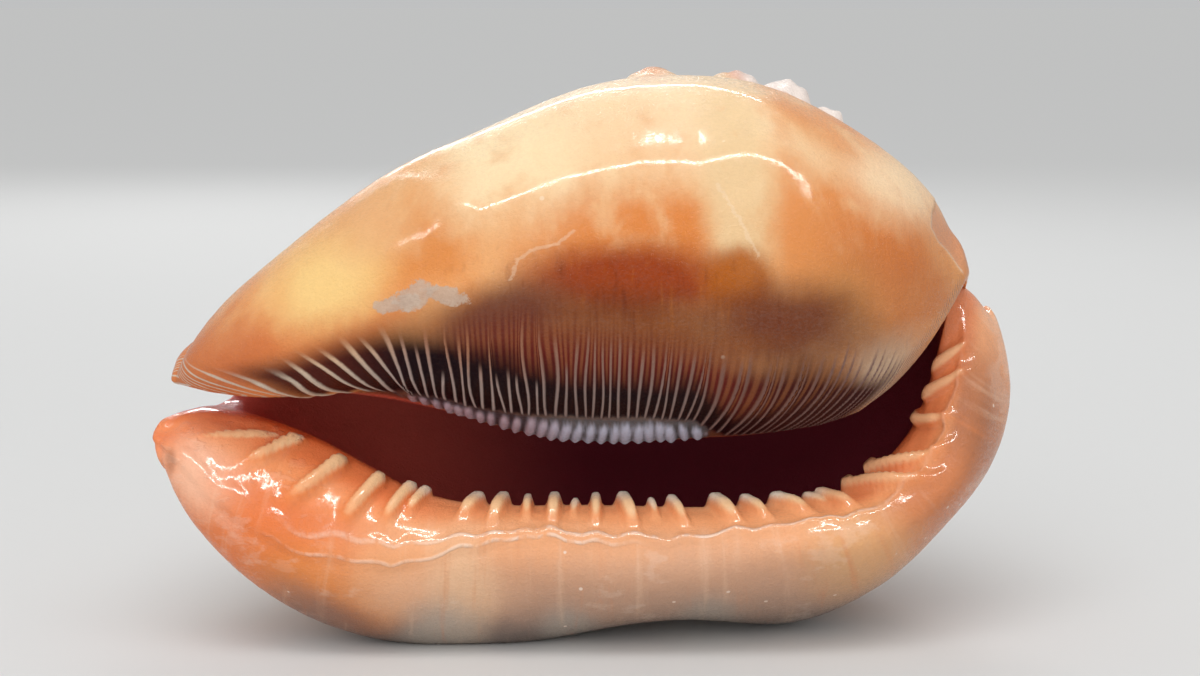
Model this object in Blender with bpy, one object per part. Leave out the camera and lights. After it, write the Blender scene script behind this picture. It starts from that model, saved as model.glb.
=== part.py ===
"""Bullmouth helmet shell, Cypraecassis rufa: one closed body, standing on its outer lip.

The shell lies along X with the canal at -X and the spire at +X. The mouth faces -Y and the floor is z = 0.
Its wall is drawn by rails: lines that run the length of the shell, each through a few chosen points. At every
station along the length a closed smooth section is passed through all the rails, so the section goes round the
outside of the wall, in over the columella, round the hollow and back out over the lip. Past the notch, where the
mouth ends, the section goes round the outside alone and closes on the apex of the spire.
"""

import math

import bmesh
import bpy
import numpy as np

# Driving dimensions, in metres
SHELL_LENGTH = 0.160
KNOB_HEIGHT = 0.0042
TOOTH_HEIGHT = 0.0019
DRAWN_LENGTH = 160.0
"""Length in millimetres at which the rails and the features below are drawn."""
SCALE = SHELL_LENGTH / DRAWN_LENGTH

STAND_CENTRE = (1.25, 3.17)
"""Middle of the drawn shell in X and Y, in millimetres, which is moved to the origin."""
NOTCH = 0.93
"""Station at which the mouth ends."""
CAP_BLEND = 0.05
APEX = (75.5, 10.5, 56.0)
NOTCH_POINT = (70.0, -7.0, 64.5)

# Rails round the outside, from the inner edge of the lip to the edge of the columella.
# Each point is (station, x, y, z); the station runs from 0 at the canal to 1 at the apex.
OUTER_RAILS = {
    "lip_edge": [
        (0, -76.3, -20.5, 41.6), (0.055, -70, -17.5, 42.6), (0.12, -57, -19, 40.2), (0.21, -42, -23, 34.3),
        (0.27, -31, -25.3, 29.2), (0.33, -20, -26, 27), (0.45, 0, -26, 26.7), (0.57, 20, -26, 26.3),
        (0.68, 38, -24.6, 26.8), (0.76, 50, -21.5, 28.8), (0.83, 58.5, -18.5, 35.5), (0.885, 64.5, -14, 46),
        (NOTCH, *NOTCH_POINT), (0.965, 73, 1.5, 61.3), (1, *APEX),
    ],
    "lip_crest": [
        (0, -77.4, -24.5, 38.5), (0.055, -72, -29, 36.5), (0.12, -61, -33.5, 28.2), (0.21, -43, -36, 21.4),
        (0.33, -20, -36, 23), (0.45, 0, -36, 22.2), (0.57, 20, -36, 21.2), (0.68, 39, -36, 23.2),
        (0.76, 51, -34, 24.2), (0.83, 62, -29.5, 28.5), (0.885, 70.5, -22, 41), (NOTCH, 74.2, -6.5, 60.3),
        (0.965, 75, 2.5, 60.8), (1, *APEX),
    ],
    "lip_face": [
        (0, -77, -26.5, 35), (0.055, -73, -30.5, 28.5), (0.12, -63.5, -33.2, 20), (0.21, -45, -34.5, 10.8),
        (0.33, -20.5, -34.5, 10.5), (0.45, 0, -34.8, 11.2), (0.57, 20.5, -34.5, 12.2), (0.68, 41, -32.5, 13.8),
        (0.76, 54.6, -29.5, 15.6), (0.83, 66.2, -24, 24), (0.885, 76.6, -16, 37.5), (NOTCH, 78.3, -4.5, 56),
        (0.965, 76.8, 3.5, 58.5), (1, *APEX),
    ],
    "lip_sole": [
        (0, -75.6, -23.5, 32), (0.055, -71.5, -25, 24.3), (0.12, -63.2, -24.5, 14), (0.21, -46.5, -22, 3),
        (0.33, -20.5, -19.5, -1.5), (0.45, 0, -18, 1.1), (0.57, 21, -14.5, 2.8), (0.68, 41.5, -9.5, 1.4),
        (0.76, 56.2, -8.5, 9.5), (0.83, 69.2, -6.5, 21), (0.885, 79.6, -3.5, 37), (0.91, 81.3, -1.5, 47),
        (NOTCH, 79.3, 2.5, 57), (0.965, 76.6, 5.8, 57.8), (1, *APEX),
    ],
    "heel": [
        (0, -74, -12, 32.5), (0.055, -67.5, -10, 24.5), (0.12, -58.5, -8, 17.5), (0.21, -42.5, -6, 10),
        (0.33, -20, -4, 8), (0.45, 0, -2, 8.2), (0.57, 20, 0.5, 8.4), (0.68, 40, 4, 9.5), (0.76, 52.5, 5, 15),
        (0.83, 64.5, 5.5, 26.5), (0.885, 71.8, 6, 39.5), (NOTCH, 74.6, 7.5, 50.5), (0.965, 75.2, 8.8, 54.3), (1, *APEX),
    ],
    "under_back": [
        (0, -70.5, -2, 34), (0.055, -65.5, 5, 25.5), (0.12, -57, 11, 17), (0.21, -40, 15, 8), (0.33, -20, 18, 3.6),
        (0.45, 0, 19.5, 2.8), (0.57, 20, 21, 2.8), (0.68, 37, 22, 5), (0.76, 49.5, 22, 10.5), (0.83, 60, 20.5, 21.5),
        (0.885, 66.8, 16.5, 34.5), (NOTCH, 71.2, 13.5, 48), (0.965, 73.5, 12.4, 52.8), (1, *APEX),
    ],
    "haunch": [
        (0, -66.5, 7, 39.5), (0.055, -62.5, 14, 33.5), (0.12, -55, 21, 27.5), (0.21, -40, 28.5, 21.5),
        (0.33, -20, 34.5, 17.5), (0.45, 0, 38, 16.5), (0.57, 20, 39.5, 17), (0.68, 35, 38, 20),
        (0.76, 46.5, 35, 26), (0.83, 56.5, 30.5, 34), (0.885, 63.5, 25, 42), (NOTCH, 69.6, 17.8, 52),
        (0.965, 73.1, 14.3, 54.6), (1, *APEX),
    ],
    "back": [
        (0, -64, 11.5, 46.5), (0.055, -60.5, 18, 45.5), (0.12, -54, 25.5, 44.5), (0.21, -40, 33, 44.5),
        (0.33, -20, 40, 45), (0.45, 0, 44.5, 46), (0.57, 20, 46, 47.5), (0.68, 34.5, 44, 49.5),
        (0.76, 45.5, 40, 51.5), (0.83, 55, 34.5, 53), (0.885, 62.3, 28, 54.5), (NOTCH, 69, 19.4, 56.5),
        (0.965, 73, 14.8, 57), (1, *APEX),
    ],
    "upper_back": [
        (0, -66, 7.5, 53), (0.055, -62, 12.5, 57.5), (0.12, -55, 18.5, 63), (0.21, -40, 24.5, 70.5),
        (0.33, -20, 30, 79), (0.45, 0, 33.5, 84.5), (0.57, 20, 34.5, 86), (0.68, 35, 32, 84.5),
        (0.76, 46.5, 28, 81), (0.83, 56, 24, 75.5), (0.885, 62.5, 19.5, 69), (NOTCH, 68.6, 13.8, 63.8),
        (0.965, 72.8, 12, 60.3), (1, *APEX),
    ],
    "crown": [
        (0, -70.5, -6, 55.5), (0.055, -67, -8, 62), (0.12, -57, -9.5, 71.3), (0.21, -40, -7, 84.2),
        (0.33, -20, -4.5, 93.8), (0.45, 0, -3, 102), (0.57, 20, -3, 104.2), (0.68, 36, -4, 101.6),
        (0.76, 48, -5, 95.8), (0.83, 60, -6, 87.2), (0.885, 66.6, -6.5, 78.8), (NOTCH, 67, 0.3, 71.3),
        (0.965, 72.3, 5.5, 61.8), (1, *APEX),
    ],
    "brow": [
        (0, -73, -17, 54.2), (0.055, -69.5, -22, 58.5), (0.12, -57.5, -26.5, 66.5), (0.21, -40, -28.5, 77),
        (0.33, -20, -29.5, 85.5), (0.45, 0, -30.5, 90.5), (0.57, 20, -31, 92), (0.68, 37, -30, 90.3),
        (0.76, 49.5, -26, 86.3), (0.83, 61, -20.5, 80.8), (0.885, 68.5, -13.5, 75.5), (NOTCH, 70.8, -9, 72),
        (0.965, 72.8, 2.2, 61.8), (1, *APEX),
    ],
    "cheek": [
        (0, -74.4, -23.5, 51), (0.055, -70.5, -28.5, 53), (0.12, -57.5, -34, 56), (0.21, -40, -38, 60.5),
        (0.33, -20, -41, 63), (0.45, 0, -42.5, 64), (0.57, 20, -42.5, 65), (0.68, 38, -40.5, 66.5),
        (0.76, 51, -35.5, 68.5), (0.83, 61.5, -27.5, 69.5), (0.885, 69, -18.5, 69.5), (NOTCH, 71.9, -12.2, 69),
        (0.965, 73, 0.8, 61.6), (1, *APEX),
    ],
    "fold_top": [
        (0, -74.6, -24.6, 49.6), (0.055, -69, -28.5, 49), (0.12, -57.3, -32.5, 49.6), (0.21, -41, -35.5, 51.5),
        (0.33, -20, -37.5, 50.5), (0.45, 0, -37.5, 48.5), (0.57, 20, -37.5, 48.5), (0.68, 38.5, -36.5, 50.5),
        (0.76, 51.5, -33, 53.5), (0.83, 61.5, -26.5, 58.5), (0.885, 68.3, -18.5, 63.6), (NOTCH, 71.4, -11.6, 66.6),
        (0.965, 73, 1, 61.4), (1, *APEX),
    ],
    "columella": [
        (0, -73.9, -24, 48.7), (0.055, -66.5, -26, 47.6), (0.12, -57, -27, 46.9), (0.21, -43, -27.3, 48),
        (0.27, -33, -26.5, 47.2), (0.33, -21, -25.3, 43.4), (0.39, -10, -25, 40.2), (0.45, 0, -25, 38.8),
        (0.57, 19.5, -25, 39.3), (0.68, 36, -25, 40.5), (0.76, 48.6, -25, 43.6), (0.83, 58.5, -23, 50.5),
        (0.885, 66, -18.3, 60), (NOTCH, *NOTCH_POINT), (0.965, 73, 1.5, 61.3), (1, *APEX),
    ],
}

# Rails round the hollow, from behind the columella, over the top and down to the inside of the lip
INNER_RAILS = {
    "core_under": [
        (0, -73.3, -18, 49), (0.055, -67, -16, 48.8), (0.12, -57, -15, 48.4), (0.21, -42, -14, 45.5),
        (0.33, -20, -13, 41), (0.45, 0, -12.5, 38), (0.57, 20, -12, 38), (0.68, 36, -12, 40),
        (0.76, 47, -12, 44), (0.83, 57, -11, 51), (0.885, 65, -9.5, 59), (NOTCH, *NOTCH_POINT),
    ],
    "core_low": [
        (0, -71.8, -11, 49.6), (0.055, -66, -8, 50), (0.12, -57, -5, 50), (0.21, -42, 0, 48.5),
        (0.33, -20, 4, 46.5), (0.45, 0, 6, 45.5), (0.57, 20, 6, 46), (0.68, 36, 5, 48), (0.76, 46, 4, 51),
        (0.83, 56, 1, 56), (0.885, 64.5, -4, 60.8), (NOTCH, *NOTCH_POINT),
    ],
    "core_back": [
        (0, -69.8, -4, 50.6), (0.055, -65, -1, 52), (0.12, -56.5, 1.5, 55), (0.21, -41, 6, 59),
        (0.33, -20, 10.5, 61), (0.45, 0, 12.5, 62.5), (0.57, 20, 12.5, 63.5), (0.68, 35, 10.5, 64),
        (0.76, 45, 8, 64), (0.83, 55, 3.5, 64), (0.885, 63.5, -3, 63.5), (NOTCH, *NOTCH_POINT),
    ],
    "core_top": [
        (0, -68, 0.5, 50.8), (0.055, -64, 3, 53.2), (0.12, -56, 3, 59.5), (0.21, -41, 3, 68),
        (0.33, -20, 5, 75), (0.45, 0, 5.5, 79.5), (0.57, 20, 5.5, 80.5), (0.68, 35, 4, 78.5),
        (0.76, 45, 2.5, 75.5), (0.83, 54.5, -1, 70.5), (0.885, 63.3, -5, 66), (NOTCH, *NOTCH_POINT),
    ],
    "inner_end": [
        (0, -66.6, 3.5, 50.2), (0.055, -63, 6, 53.8), (0.12, -56, 3.5, 63), (0.21, -41, -3.5, 73),
        (0.33, -20, -10, 81.5), (0.45, 0, -14, 86.5), (0.57, 20, -14, 87.5), (0.68, 35, -13, 85),
        (0.76, 45, -9, 80.5), (0.83, 54, -7, 74.5), (0.885, 63, -7, 68), (NOTCH, *NOTCH_POINT),
    ],
    "roof": [
        (0, -65.6, 5.8, 48.8), (0.055, -62, 9, 52.5), (0.12, -56, 8, 64), (0.21, -40.5, 3, 76),
        (0.33, -20, 0, 86), (0.45, 0, -1, 94), (0.57, 20, -1, 96), (0.68, 35, -1, 92.5), (0.76, 45.5, -2, 86.5),
        (0.83, 55, -3, 78), (0.885, 63, -6, 69.5), (NOTCH, *NOTCH_POINT),
    ],
    "roof_back": [
        (0, -65.2, 6.8, 47), (0.055, -61.3, 10.8, 49.8), (0.12, -55.5, 14, 57.5), (0.21, -40.5, 18.5, 65.5),
        (0.33, -20, 23.5, 74), (0.45, 0, 27, 79), (0.57, 19.5, 28, 80.5), (0.68, 33.5, 25, 78.5),
        (0.76, 44, 20.5, 74), (0.83, 54, 13, 68), (0.885, 62.5, 2.5, 65), (NOTCH, *NOTCH_POINT),
    ],
    "rear_wall": [
        (0, -65.2, 6.8, 45), (0.055, -61, 10.8, 46.5), (0.12, -55, 16, 48), (0.21, -40.5, 24, 49.5),
        (0.33, -20, 31.5, 50), (0.45, 0, 36, 50.5), (0.57, 19.5, 37.5, 51.5), (0.68, 33.5, 34.5, 52.5),
        (0.76, 44.5, 29, 53.5), (0.83, 55, 19.5, 55), (0.885, 63.5, 6, 59.5), (NOTCH, *NOTCH_POINT),
    ],
    "rear_floor": [
        (0, -66.6, 4.5, 43), (0.055, -62, 7.5, 43), (0.12, -55.5, 13, 41), (0.21, -40.5, 20.5, 33),
        (0.33, -20, 27, 27.5), (0.45, 0, 30.5, 26), (0.57, 20, 31.5, 26.5), (0.68, 35.5, 29, 29.5),
        (0.76, 47.5, 23.5, 35.5), (0.83, 57.5, 15, 43), (0.885, 65, 4, 54), (NOTCH, *NOTCH_POINT),
    ],
    "floor": [
        (0, -70, -2.5, 41.3), (0.055, -65, 0.5, 40.8), (0.12, -57, 3.5, 36.5), (0.21, -40.5, 6.5, 24.5),
        (0.33, -20, 10, 17), (0.45, 0, 12.5, 14.5), (0.57, 20, 13.5, 14.5), (0.68, 38, 13, 17),
        (0.76, 50.5, 10, 24), (0.83, 60, 5.5, 34.5), (0.885, 66.5, -1, 50), (NOTCH, *NOTCH_POINT),
    ],
    "lip_inside": [
        (0, -73.4, -11.5, 42), (0.055, -67.5, -9, 42), (0.12, -57, -8.5, 37), (0.21, -41, -9, 26.5),
        (0.33, -20, -10, 18.5), (0.45, 0, -9.5, 16.3), (0.57, 20, -8.5, 16.3), (0.68, 38.5, -7.5, 18.5),
        (0.76, 51.5, -7, 24.5), (0.83, 61.5, -7.5, 35), (0.885, 67, -8, 50), (NOTCH, *NOTCH_POINT),
    ],
}

# Teeth of the lip: (place along the lip edge, slant, start, end, half width, height factor).
# Place, start, end and half width are millimetres. Start and end are distances from the edge, outward over
# the lip, and slant is how far the tooth shifts towards the canal for each millimetre outward.
TEETH = [
    (26.6, 2.0, 3.5, 8.5, 1.2, 0.35),
    (27.2, 0.78, 2.5, 12.0, 1.25, 0.85),
    (36.4, 0.62, 3.2, 16.0, 1.3, 1.0),
    (43.7, 0.5, 2.5, 15.0, 1.25, 0.95),
    (49.0, 0.44, 0.8, 11.0, 1.15, 0.9),
    (51.6, 0.4, 0.0, 7.0, 1.0, 0.8),
    (61.2, 0.35, -2.0, 6.5, 1.5, 1.0),
    (65.9, 0.2, -2.5, 8.5, 1.4, 1.15),
    (70.5, 0.03, -2.5, 6.0, 0.95, 1.0),
    (75.4, 0.05, -2.5, 8.0, 1.3, 1.15),
    (79.2, 0.1, -1.5, 4.0, 0.8, 0.55),
    (82.9, 0.0, -2.5, 6.8, 1.05, 1.1),
    (87.9, -0.25, -2.5, 7.5, 1.45, 1.2),
    (93.0, -0.2, -2.0, 3.5, 0.8, 0.75),
    (96.8, -0.35, -2.5, 6.0, 1.1, 1.05),
    (105.0, -0.45, -2.5, 6.5, 1.5, 1.2),
    (110.5, -0.5, -2.5, 6.0, 1.2, 1.0),
    (116.4, -0.8, -2.5, 6.0, 1.3, 1.05),
    (122.4, -0.7, -2.5, 4.0, 1.1, 0.8),
    (124.9, -0.7, -2.0, 8.0, 1.3, 1.0),
    (131.0, -1.2, -2.5, 12.0, 1.2, 1.15),
    (136.6, -1.35, -2.5, 10.0, 1.15, 1.1),
    (149.8, -0.7, -1.0, 7.5, 1.0, 0.85),
    (155.0, -1.25, 0.0, 7.5, 0.9, 0.7),
    (160.4, -1.5, 0.5, 6.0, 0.9, 0.6),
]

# Rows of knobs round the back, each from behind the crown down to the under_back rail:
# (station at the crown, station at the bottom, first place, number, radius, height factor).
# The radius is millimetres. The first place is how far the row's first knob is behind the crown, in millimetres.
KNOB_ROWS = [
    (0.755, 0.800, 10, 6, 6.0, 0.85),
    (0.700, 0.690, 10, 8, 9.0, 1.02),
    (0.634, 0.590, 14, 8, 8.0, 0.95),
    (0.525, 0.480, 13, 8, 8.0, 0.9),
    (0.410, 0.380, 18, 7, 7.5, 0.7),
    (0.310, 0.285, 14, 7, 7.0, 0.45),
]

# Stations of the columns that close the spire end, past the last tooth
SPIRE_STATIONS = [0.905, NOTCH, 0.94, 0.952, 0.965, 0.98, 0.991, 1.0]
# Part of the station over which the relief fades out before the notch
RELIEF_FADE = 0.03

# Rows of facets between one rail and the next
OUTER_ROWS = [3, 2, 4, 5, 4, 4, 6, 8, 8, 4, 4, 2, 2]
INNER_ROWS = [2, 2, 1, 1, 1, 1, 2, 2, 2, 2, 2, 3]
RIM_ANGLES = (35, 70)
RIM_DEPTH = 2.4
RIM_DIRECTION = np.array([-1.0, 0.0, 0.0])


def natural_spline(knots, points, query):
    """Read, at the query values, the natural cubic spline through points at the knots."""
    knots = np.asarray(knots, float)
    points = np.asarray(points, float)
    query = np.asarray(query, float)
    span = np.diff(knots)
    system = np.eye(len(knots))
    bends = np.zeros_like(points)
    for i in range(1, len(knots) - 1):
        system[i, i - 1 : i + 2] = span[i - 1], 2 * (span[i - 1] + span[i]), span[i]
        bends[i] = 6 * ((points[i + 1] - points[i]) / span[i] - (points[i] - points[i - 1]) / span[i - 1])
    bends = np.linalg.solve(system, bends)
    at = np.clip(np.searchsorted(knots, query, side="right") - 1, 0, len(span) - 1)
    return spline_point(points, bends, span, at, (query - knots[at]) / span[at])


def closed_spline(points, at, share):
    """Read the closed cubic spline through points, at a share of the way along each named stretch."""
    points = np.asarray(points, float)
    count = len(points)
    span = np.linalg.norm(np.roll(points, -1, 0) - points, axis=1) ** 0.5 + 0.02
    system = np.zeros((count, count))
    bends = np.zeros_like(points)
    for i in range(count):
        before, after = i - 1, (i + 1) % count
        system[i, before] += span[before]
        system[i, i] += 2 * (span[before] + span[i])
        system[i, after] += span[i]
        bends[i] = 6 * ((points[after] - points[i]) / span[i] - (points[i] - points[before]) / span[before])
    bends = np.linalg.solve(system, bends)
    points = np.vstack([points, points[:1]])
    bends = np.vstack([bends, bends[:1]])
    return spline_point(points, bends, span, at, share)


def spline_point(points, bends, span, at, share):
    """Return the points at a share of the way along stretches of a cubic spline with known bends."""
    width = span[at][:, None]
    ahead = share[:, None] * width
    behind = width - ahead
    cubic = (bends[at] * behind**3 + bends[at + 1] * ahead**3) / (6 * width)
    start = (points[at] / width - bends[at] * width / 6) * behind
    end = (points[at + 1] / width - bends[at + 1] * width / 6) * ahead
    return cubic + start + end


def read_rail(rail, stations):
    """Return a rail's points at the stations."""
    table = np.array(rail, float)
    return natural_spline(table[:, 0], table[:, 1:], stations)


def spread(counts):
    """Return the stretch and the share of each row, with counts rows in each stretch and one at the end."""
    at = np.repeat(np.arange(len(counts)), counts)
    share = np.concatenate([np.arange(count) / count for count in counts])
    return np.append(at, len(counts) - 1), np.append(share, 1.0)


def smoothstep(low, high, value):
    """Return 0 below low, 1 above high and a smooth rise between them."""
    share = np.clip((value - low) / (high - low), 0, 1)
    return share * share * (3 - 2 * share)


def wall(stations, outer_rows, inner_rows):
    """Return the grids of points on the outside and on the inside of the wall, one column for each station."""
    outer_at, outer_share = spread(outer_rows)
    inner_at, inner_share = spread(inner_rows)
    outer_points = np.stack([read_rail(rail, stations) for rail in OUTER_RAILS.values()], axis=1)
    inner_points = np.stack([read_rail(rail, stations) for rail in INNER_RAILS.values()], axis=1)
    outside, inside = [], []
    for station, around, within in zip(stations, outer_points, inner_points):
        blend = smoothstep(NOTCH - CAP_BLEND, NOTCH, station)
        column = np.zeros((len(outer_at), 3))
        if station <= NOTCH:
            section = np.vstack([around, within])
            column += (1 - blend) * closed_spline(section, outer_at, outer_share)
            inside.append(closed_spline(section, inner_at + len(around) - 1, inner_share))
        if blend > 0:
            column += blend * closed_spline(around[:-1], outer_at, outer_share)
        outside.append(column)
    return np.array(outside), np.array(inside)


def grid_normals(grid):
    """Return the unit normals of a grid of points, outward for the outside of the wall."""
    along = np.gradient(grid, axis=0)
    across = np.gradient(grid, axis=1)
    normals = np.cross(across, along)
    return normals / np.maximum(np.linalg.norm(normals, axis=2, keepdims=True), 1e-9)


def arc_length(line):
    """Return the distance run along a line of points, at each of them."""
    steps = np.linalg.norm(np.diff(line, axis=0), axis=1)
    return np.concatenate([[0], np.cumsum(steps)])


def tooth_relief(place, outward):
    """Return the rise of the lip teeth at a place along the lip edge and a distance outward from it."""
    relief = np.zeros_like(outward)
    for centre, slant, start, end, half_width, height in TEETH:
        offset = (place - (centre - slant * np.maximum(outward, 0))) / (half_width * math.hypot(1, slant))
        rise = smoothstep(start - 2.0, start + 0.6, outward)
        fall = 1 - smoothstep(start + 0.45 * (end - start), end + 1.5, outward)
        relief = np.maximum(relief, height * rise * fall * np.exp(-(offset**2)))
    return relief * TOOTH_HEIGHT / SCALE


def knob_centres():
    """Return the centre, the radius and the height factor of each knob."""
    names = list(OUTER_RAILS)
    rows = [40] * (len(names) - 1)
    first, last = 40 * names.index("under_back"), 40 * names.index("crown")
    knobs = []
    for crown_station, bottom_station, first_place, number, radius, height in KNOB_ROWS:
        stations = np.linspace(crown_station, bottom_station, number)
        sections, _ = wall(stations, rows, INNER_ROWS)
        for step, section in enumerate(sections):
            line = section[first : last + 1][::-1]
            run = arc_length(line)
            place = first_place + (run[-1] - first_place) * step / (number - 1)
            centre = [np.interp(place, run, line[:, axis]) for axis in range(3)]
            knobs.append((np.array(centre), radius, height))
    return knobs


def knob_relief(points):
    """Return the rise of the knobs at points on the outside of the wall."""
    relief = np.zeros(points.shape[:-1])
    for centre, radius, height in knob_centres():
        reach = np.clip(np.linalg.norm(points - centre, axis=-1) / radius, 0, 1)
        relief = np.maximum(relief, height * (1 - reach**2) ** 2)
    return relief * KNOB_HEIGHT / SCALE


def columns():
    """Return the stations of the columns: at each tooth and halfway between teeth, and evenly at the ends."""
    fine, run = edge_run()
    places = np.array([tooth[0] for tooth in TEETH])
    halfway = (places[1:] + places[:-1]) / 2
    toothed = np.interp(np.concatenate([places, halfway]), run, fine)
    canal = np.linspace(0, toothed.min(), 4)[:-1]
    return np.unique(np.concatenate([canal, toothed, SPIRE_STATIONS]))


def rim(edge, middle):
    """Return columns that round one side of the canal's rim over, from a sheet's edge towards the middle line."""
    half = edge - middle
    depth = np.minimum(np.linalg.norm(half, axis=1, keepdims=True), RIM_DEPTH)
    return [
        middle + math.cos(math.radians(angle)) * half + math.sin(math.radians(angle)) * depth * RIM_DIRECTION
        for angle in RIM_ANGLES
    ]


def evenly(line, shares):
    """Return the points at shares of the length of a line."""
    run = arc_length(line)
    return np.stack([np.interp(shares * run[-1], run, line[:, axis]) for axis in range(3)], axis=1)


def add_rim(outside, inside):
    """Return both sheets with the columns of the rounded rim in front of them."""
    shares_out = arc_length(outside[0]) / arc_length(outside[0])[-1]
    turned = inside[0][::-1]
    shares_in = arc_length(turned) / arc_length(turned)[-1]
    middle_out = (outside[0] + evenly(turned, shares_out)) / 2
    middle_in = ((turned + evenly(outside[0], shares_in)) / 2)[::-1]
    rim_out = rim(outside[0], middle_out)
    rim_in = rim(inside[0], middle_in)
    return np.concatenate([rim_out[::-1], outside]), np.concatenate([rim_in[::-1], inside])


def relieved_wall():
    """Return both sheets in millimetres, with teeth, knobs, the rim and the flats worn on the underside."""
    stations = columns()
    outside, inside = wall(stations, OUTER_ROWS, INNER_ROWS)
    lip_edge = np.interp(stations, *edge_run())
    outward_out = np.array([arc_length(column) for column in outside])
    outward_in = -np.array([arc_length(column[::-1])[::-1] for column in inside])
    outside_relief = tooth_relief(lip_edge[:, None], outward_out) + knob_relief(outside)
    inside_relief = tooth_relief(lip_edge[: len(inside), None], outward_in)
    fade = 1 - smoothstep(NOTCH - RELIEF_FADE, NOTCH, stations)
    outside_relief *= fade[:, None]
    inside_relief *= fade[: len(inside), None]
    outside = outside + grid_normals(outside) * outside_relief[..., None]
    inside = inside + grid_normals(inside) * inside_relief[..., None]
    inside[:, -1] = outside[: len(inside), 0]
    inside[:, 0] = outside[: len(inside), -1]
    outside[..., 2] = np.maximum(outside[..., 2], 0)
    return add_rim(outside, inside)


def edge_run():
    """Return fine stations and the distance run along the lip edge at each of them."""
    fine = np.linspace(0, NOTCH, 400)
    return fine, arc_length(read_rail(OUTER_RAILS["lip_edge"], fine))


def add_sheet(mesh, grid):
    """Add a grid of points to the mesh as quads and return its vertices, column by column."""
    grid = grid - [*STAND_CENTRE, 0]
    verts = [[mesh.verts.new(point * SCALE) for point in column] for column in grid]
    for left, right in zip(verts, verts[1:]):
        for row in range(len(left) - 1):
            mesh.faces.new((left[row], left[row + 1], right[row + 1], right[row]))
    return verts


def zip_edges(mesh, first, second):
    """Close the strip between two lines of vertices that run side by side."""
    run_first = arc_length(np.array([vert.co for vert in first]))
    run_second = arc_length(np.array([vert.co for vert in second]))
    i = j = 0
    while i < len(first) - 1 or j < len(second) - 1:
        ahead_first = run_first[min(i + 1, len(first) - 1)] / run_first[-1]
        ahead_second = run_second[min(j + 1, len(second) - 1)] / run_second[-1]
        if j == len(second) - 1 or (i < len(first) - 1 and ahead_first <= ahead_second):
            mesh.faces.new((first[i], second[j], first[i + 1]))
            i += 1
        else:
            mesh.faces.new((first[i], second[j], second[j + 1]))
            j += 1


def shell_mesh():
    """Return the mesh of the whole shell."""
    outside, inside = relieved_wall()
    mesh = bmesh.new()
    outer = add_sheet(mesh, outside)
    inner = add_sheet(mesh, inside)
    zip_edges(mesh, outer[0], inner[0][::-1])
    bmesh.ops.remove_doubles(mesh, verts=mesh.verts, dist=2e-5)
    bmesh.ops.dissolve_degenerate(mesh, edges=mesh.edges, dist=1e-6)
    bmesh.ops.recalc_face_normals(mesh, faces=mesh.faces)
    bmesh.ops.triangulate(mesh, faces=mesh.faces)
    result = bpy.data.meshes.new("helmet_shell")
    mesh.to_mesh(result)
    mesh.free()
    result.shade_smooth()
    return result


def shell_material():
    """Return the material of the glossy orange-cream shell."""
    material = bpy.data.materials.new("glazed_shell")
    material.use_nodes = True
    shader = material.node_tree.nodes["Principled BSDF"]
    shader.inputs["Base Color"].default_value = (0.82, 0.45, 0.23, 1)
    shader.inputs["Roughness"].default_value = 0.28
    shader.inputs["Metallic"].default_value = 0
    return material


def main():
    """Build the shell in an empty scene."""
    for item in list(bpy.data.objects):
        bpy.data.objects.remove(item)
    mesh = shell_mesh()
    mesh.materials.append(shell_material())
    shell = bpy.data.objects.new("helmet_shell", mesh)
    bpy.context.scene.collection.objects.link(shell)


main()
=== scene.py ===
"""Bullmouth helmet shell, Cypraecassis rufa, on a pale floor.

The wall is drawn by the same rails as the solid in the frame. Here its grid is fine enough to hold the teeth,
the folds, the beads, the knobs and the edges of the glaze. Each of these is a mark, kept as a vertex attribute.
A Geometry Nodes tree lifts the surface by the marks, and the material is coloured by them. All drawn sizes are
in millimetres.
"""

import math
import random

import bmesh
import bpy
import numpy as np
from mathutils import Matrix, Vector, noise


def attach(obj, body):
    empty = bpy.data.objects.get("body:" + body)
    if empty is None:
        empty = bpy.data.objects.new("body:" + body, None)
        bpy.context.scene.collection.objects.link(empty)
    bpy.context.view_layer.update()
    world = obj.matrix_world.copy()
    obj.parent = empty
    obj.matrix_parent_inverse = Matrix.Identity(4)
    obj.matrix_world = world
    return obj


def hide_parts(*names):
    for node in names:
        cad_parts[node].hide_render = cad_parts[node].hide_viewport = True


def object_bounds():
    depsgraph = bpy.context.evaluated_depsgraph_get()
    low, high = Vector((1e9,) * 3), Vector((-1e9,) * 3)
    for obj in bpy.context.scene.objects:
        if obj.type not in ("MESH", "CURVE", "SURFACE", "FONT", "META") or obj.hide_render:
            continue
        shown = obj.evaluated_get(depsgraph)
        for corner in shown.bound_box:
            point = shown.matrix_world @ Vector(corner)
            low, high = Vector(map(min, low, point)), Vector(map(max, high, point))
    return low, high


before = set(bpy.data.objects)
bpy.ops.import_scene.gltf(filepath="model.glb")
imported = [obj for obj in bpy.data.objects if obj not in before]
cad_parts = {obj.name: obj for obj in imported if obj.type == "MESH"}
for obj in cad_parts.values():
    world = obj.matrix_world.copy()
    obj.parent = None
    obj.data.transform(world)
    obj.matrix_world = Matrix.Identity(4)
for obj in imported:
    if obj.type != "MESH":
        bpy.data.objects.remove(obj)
CAD_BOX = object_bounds()

bl_info = {
    "name": "Helmet Shell",
    "version": (1, 0, 0),
    "blender": (4, 5, 0),
    "location": "View3D > Sidebar > Helmet Shell",
    "description": "Models a bullmouth helmet shell, and a pale studio floor to show it on",
    "category": "Add Mesh",
}

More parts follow.
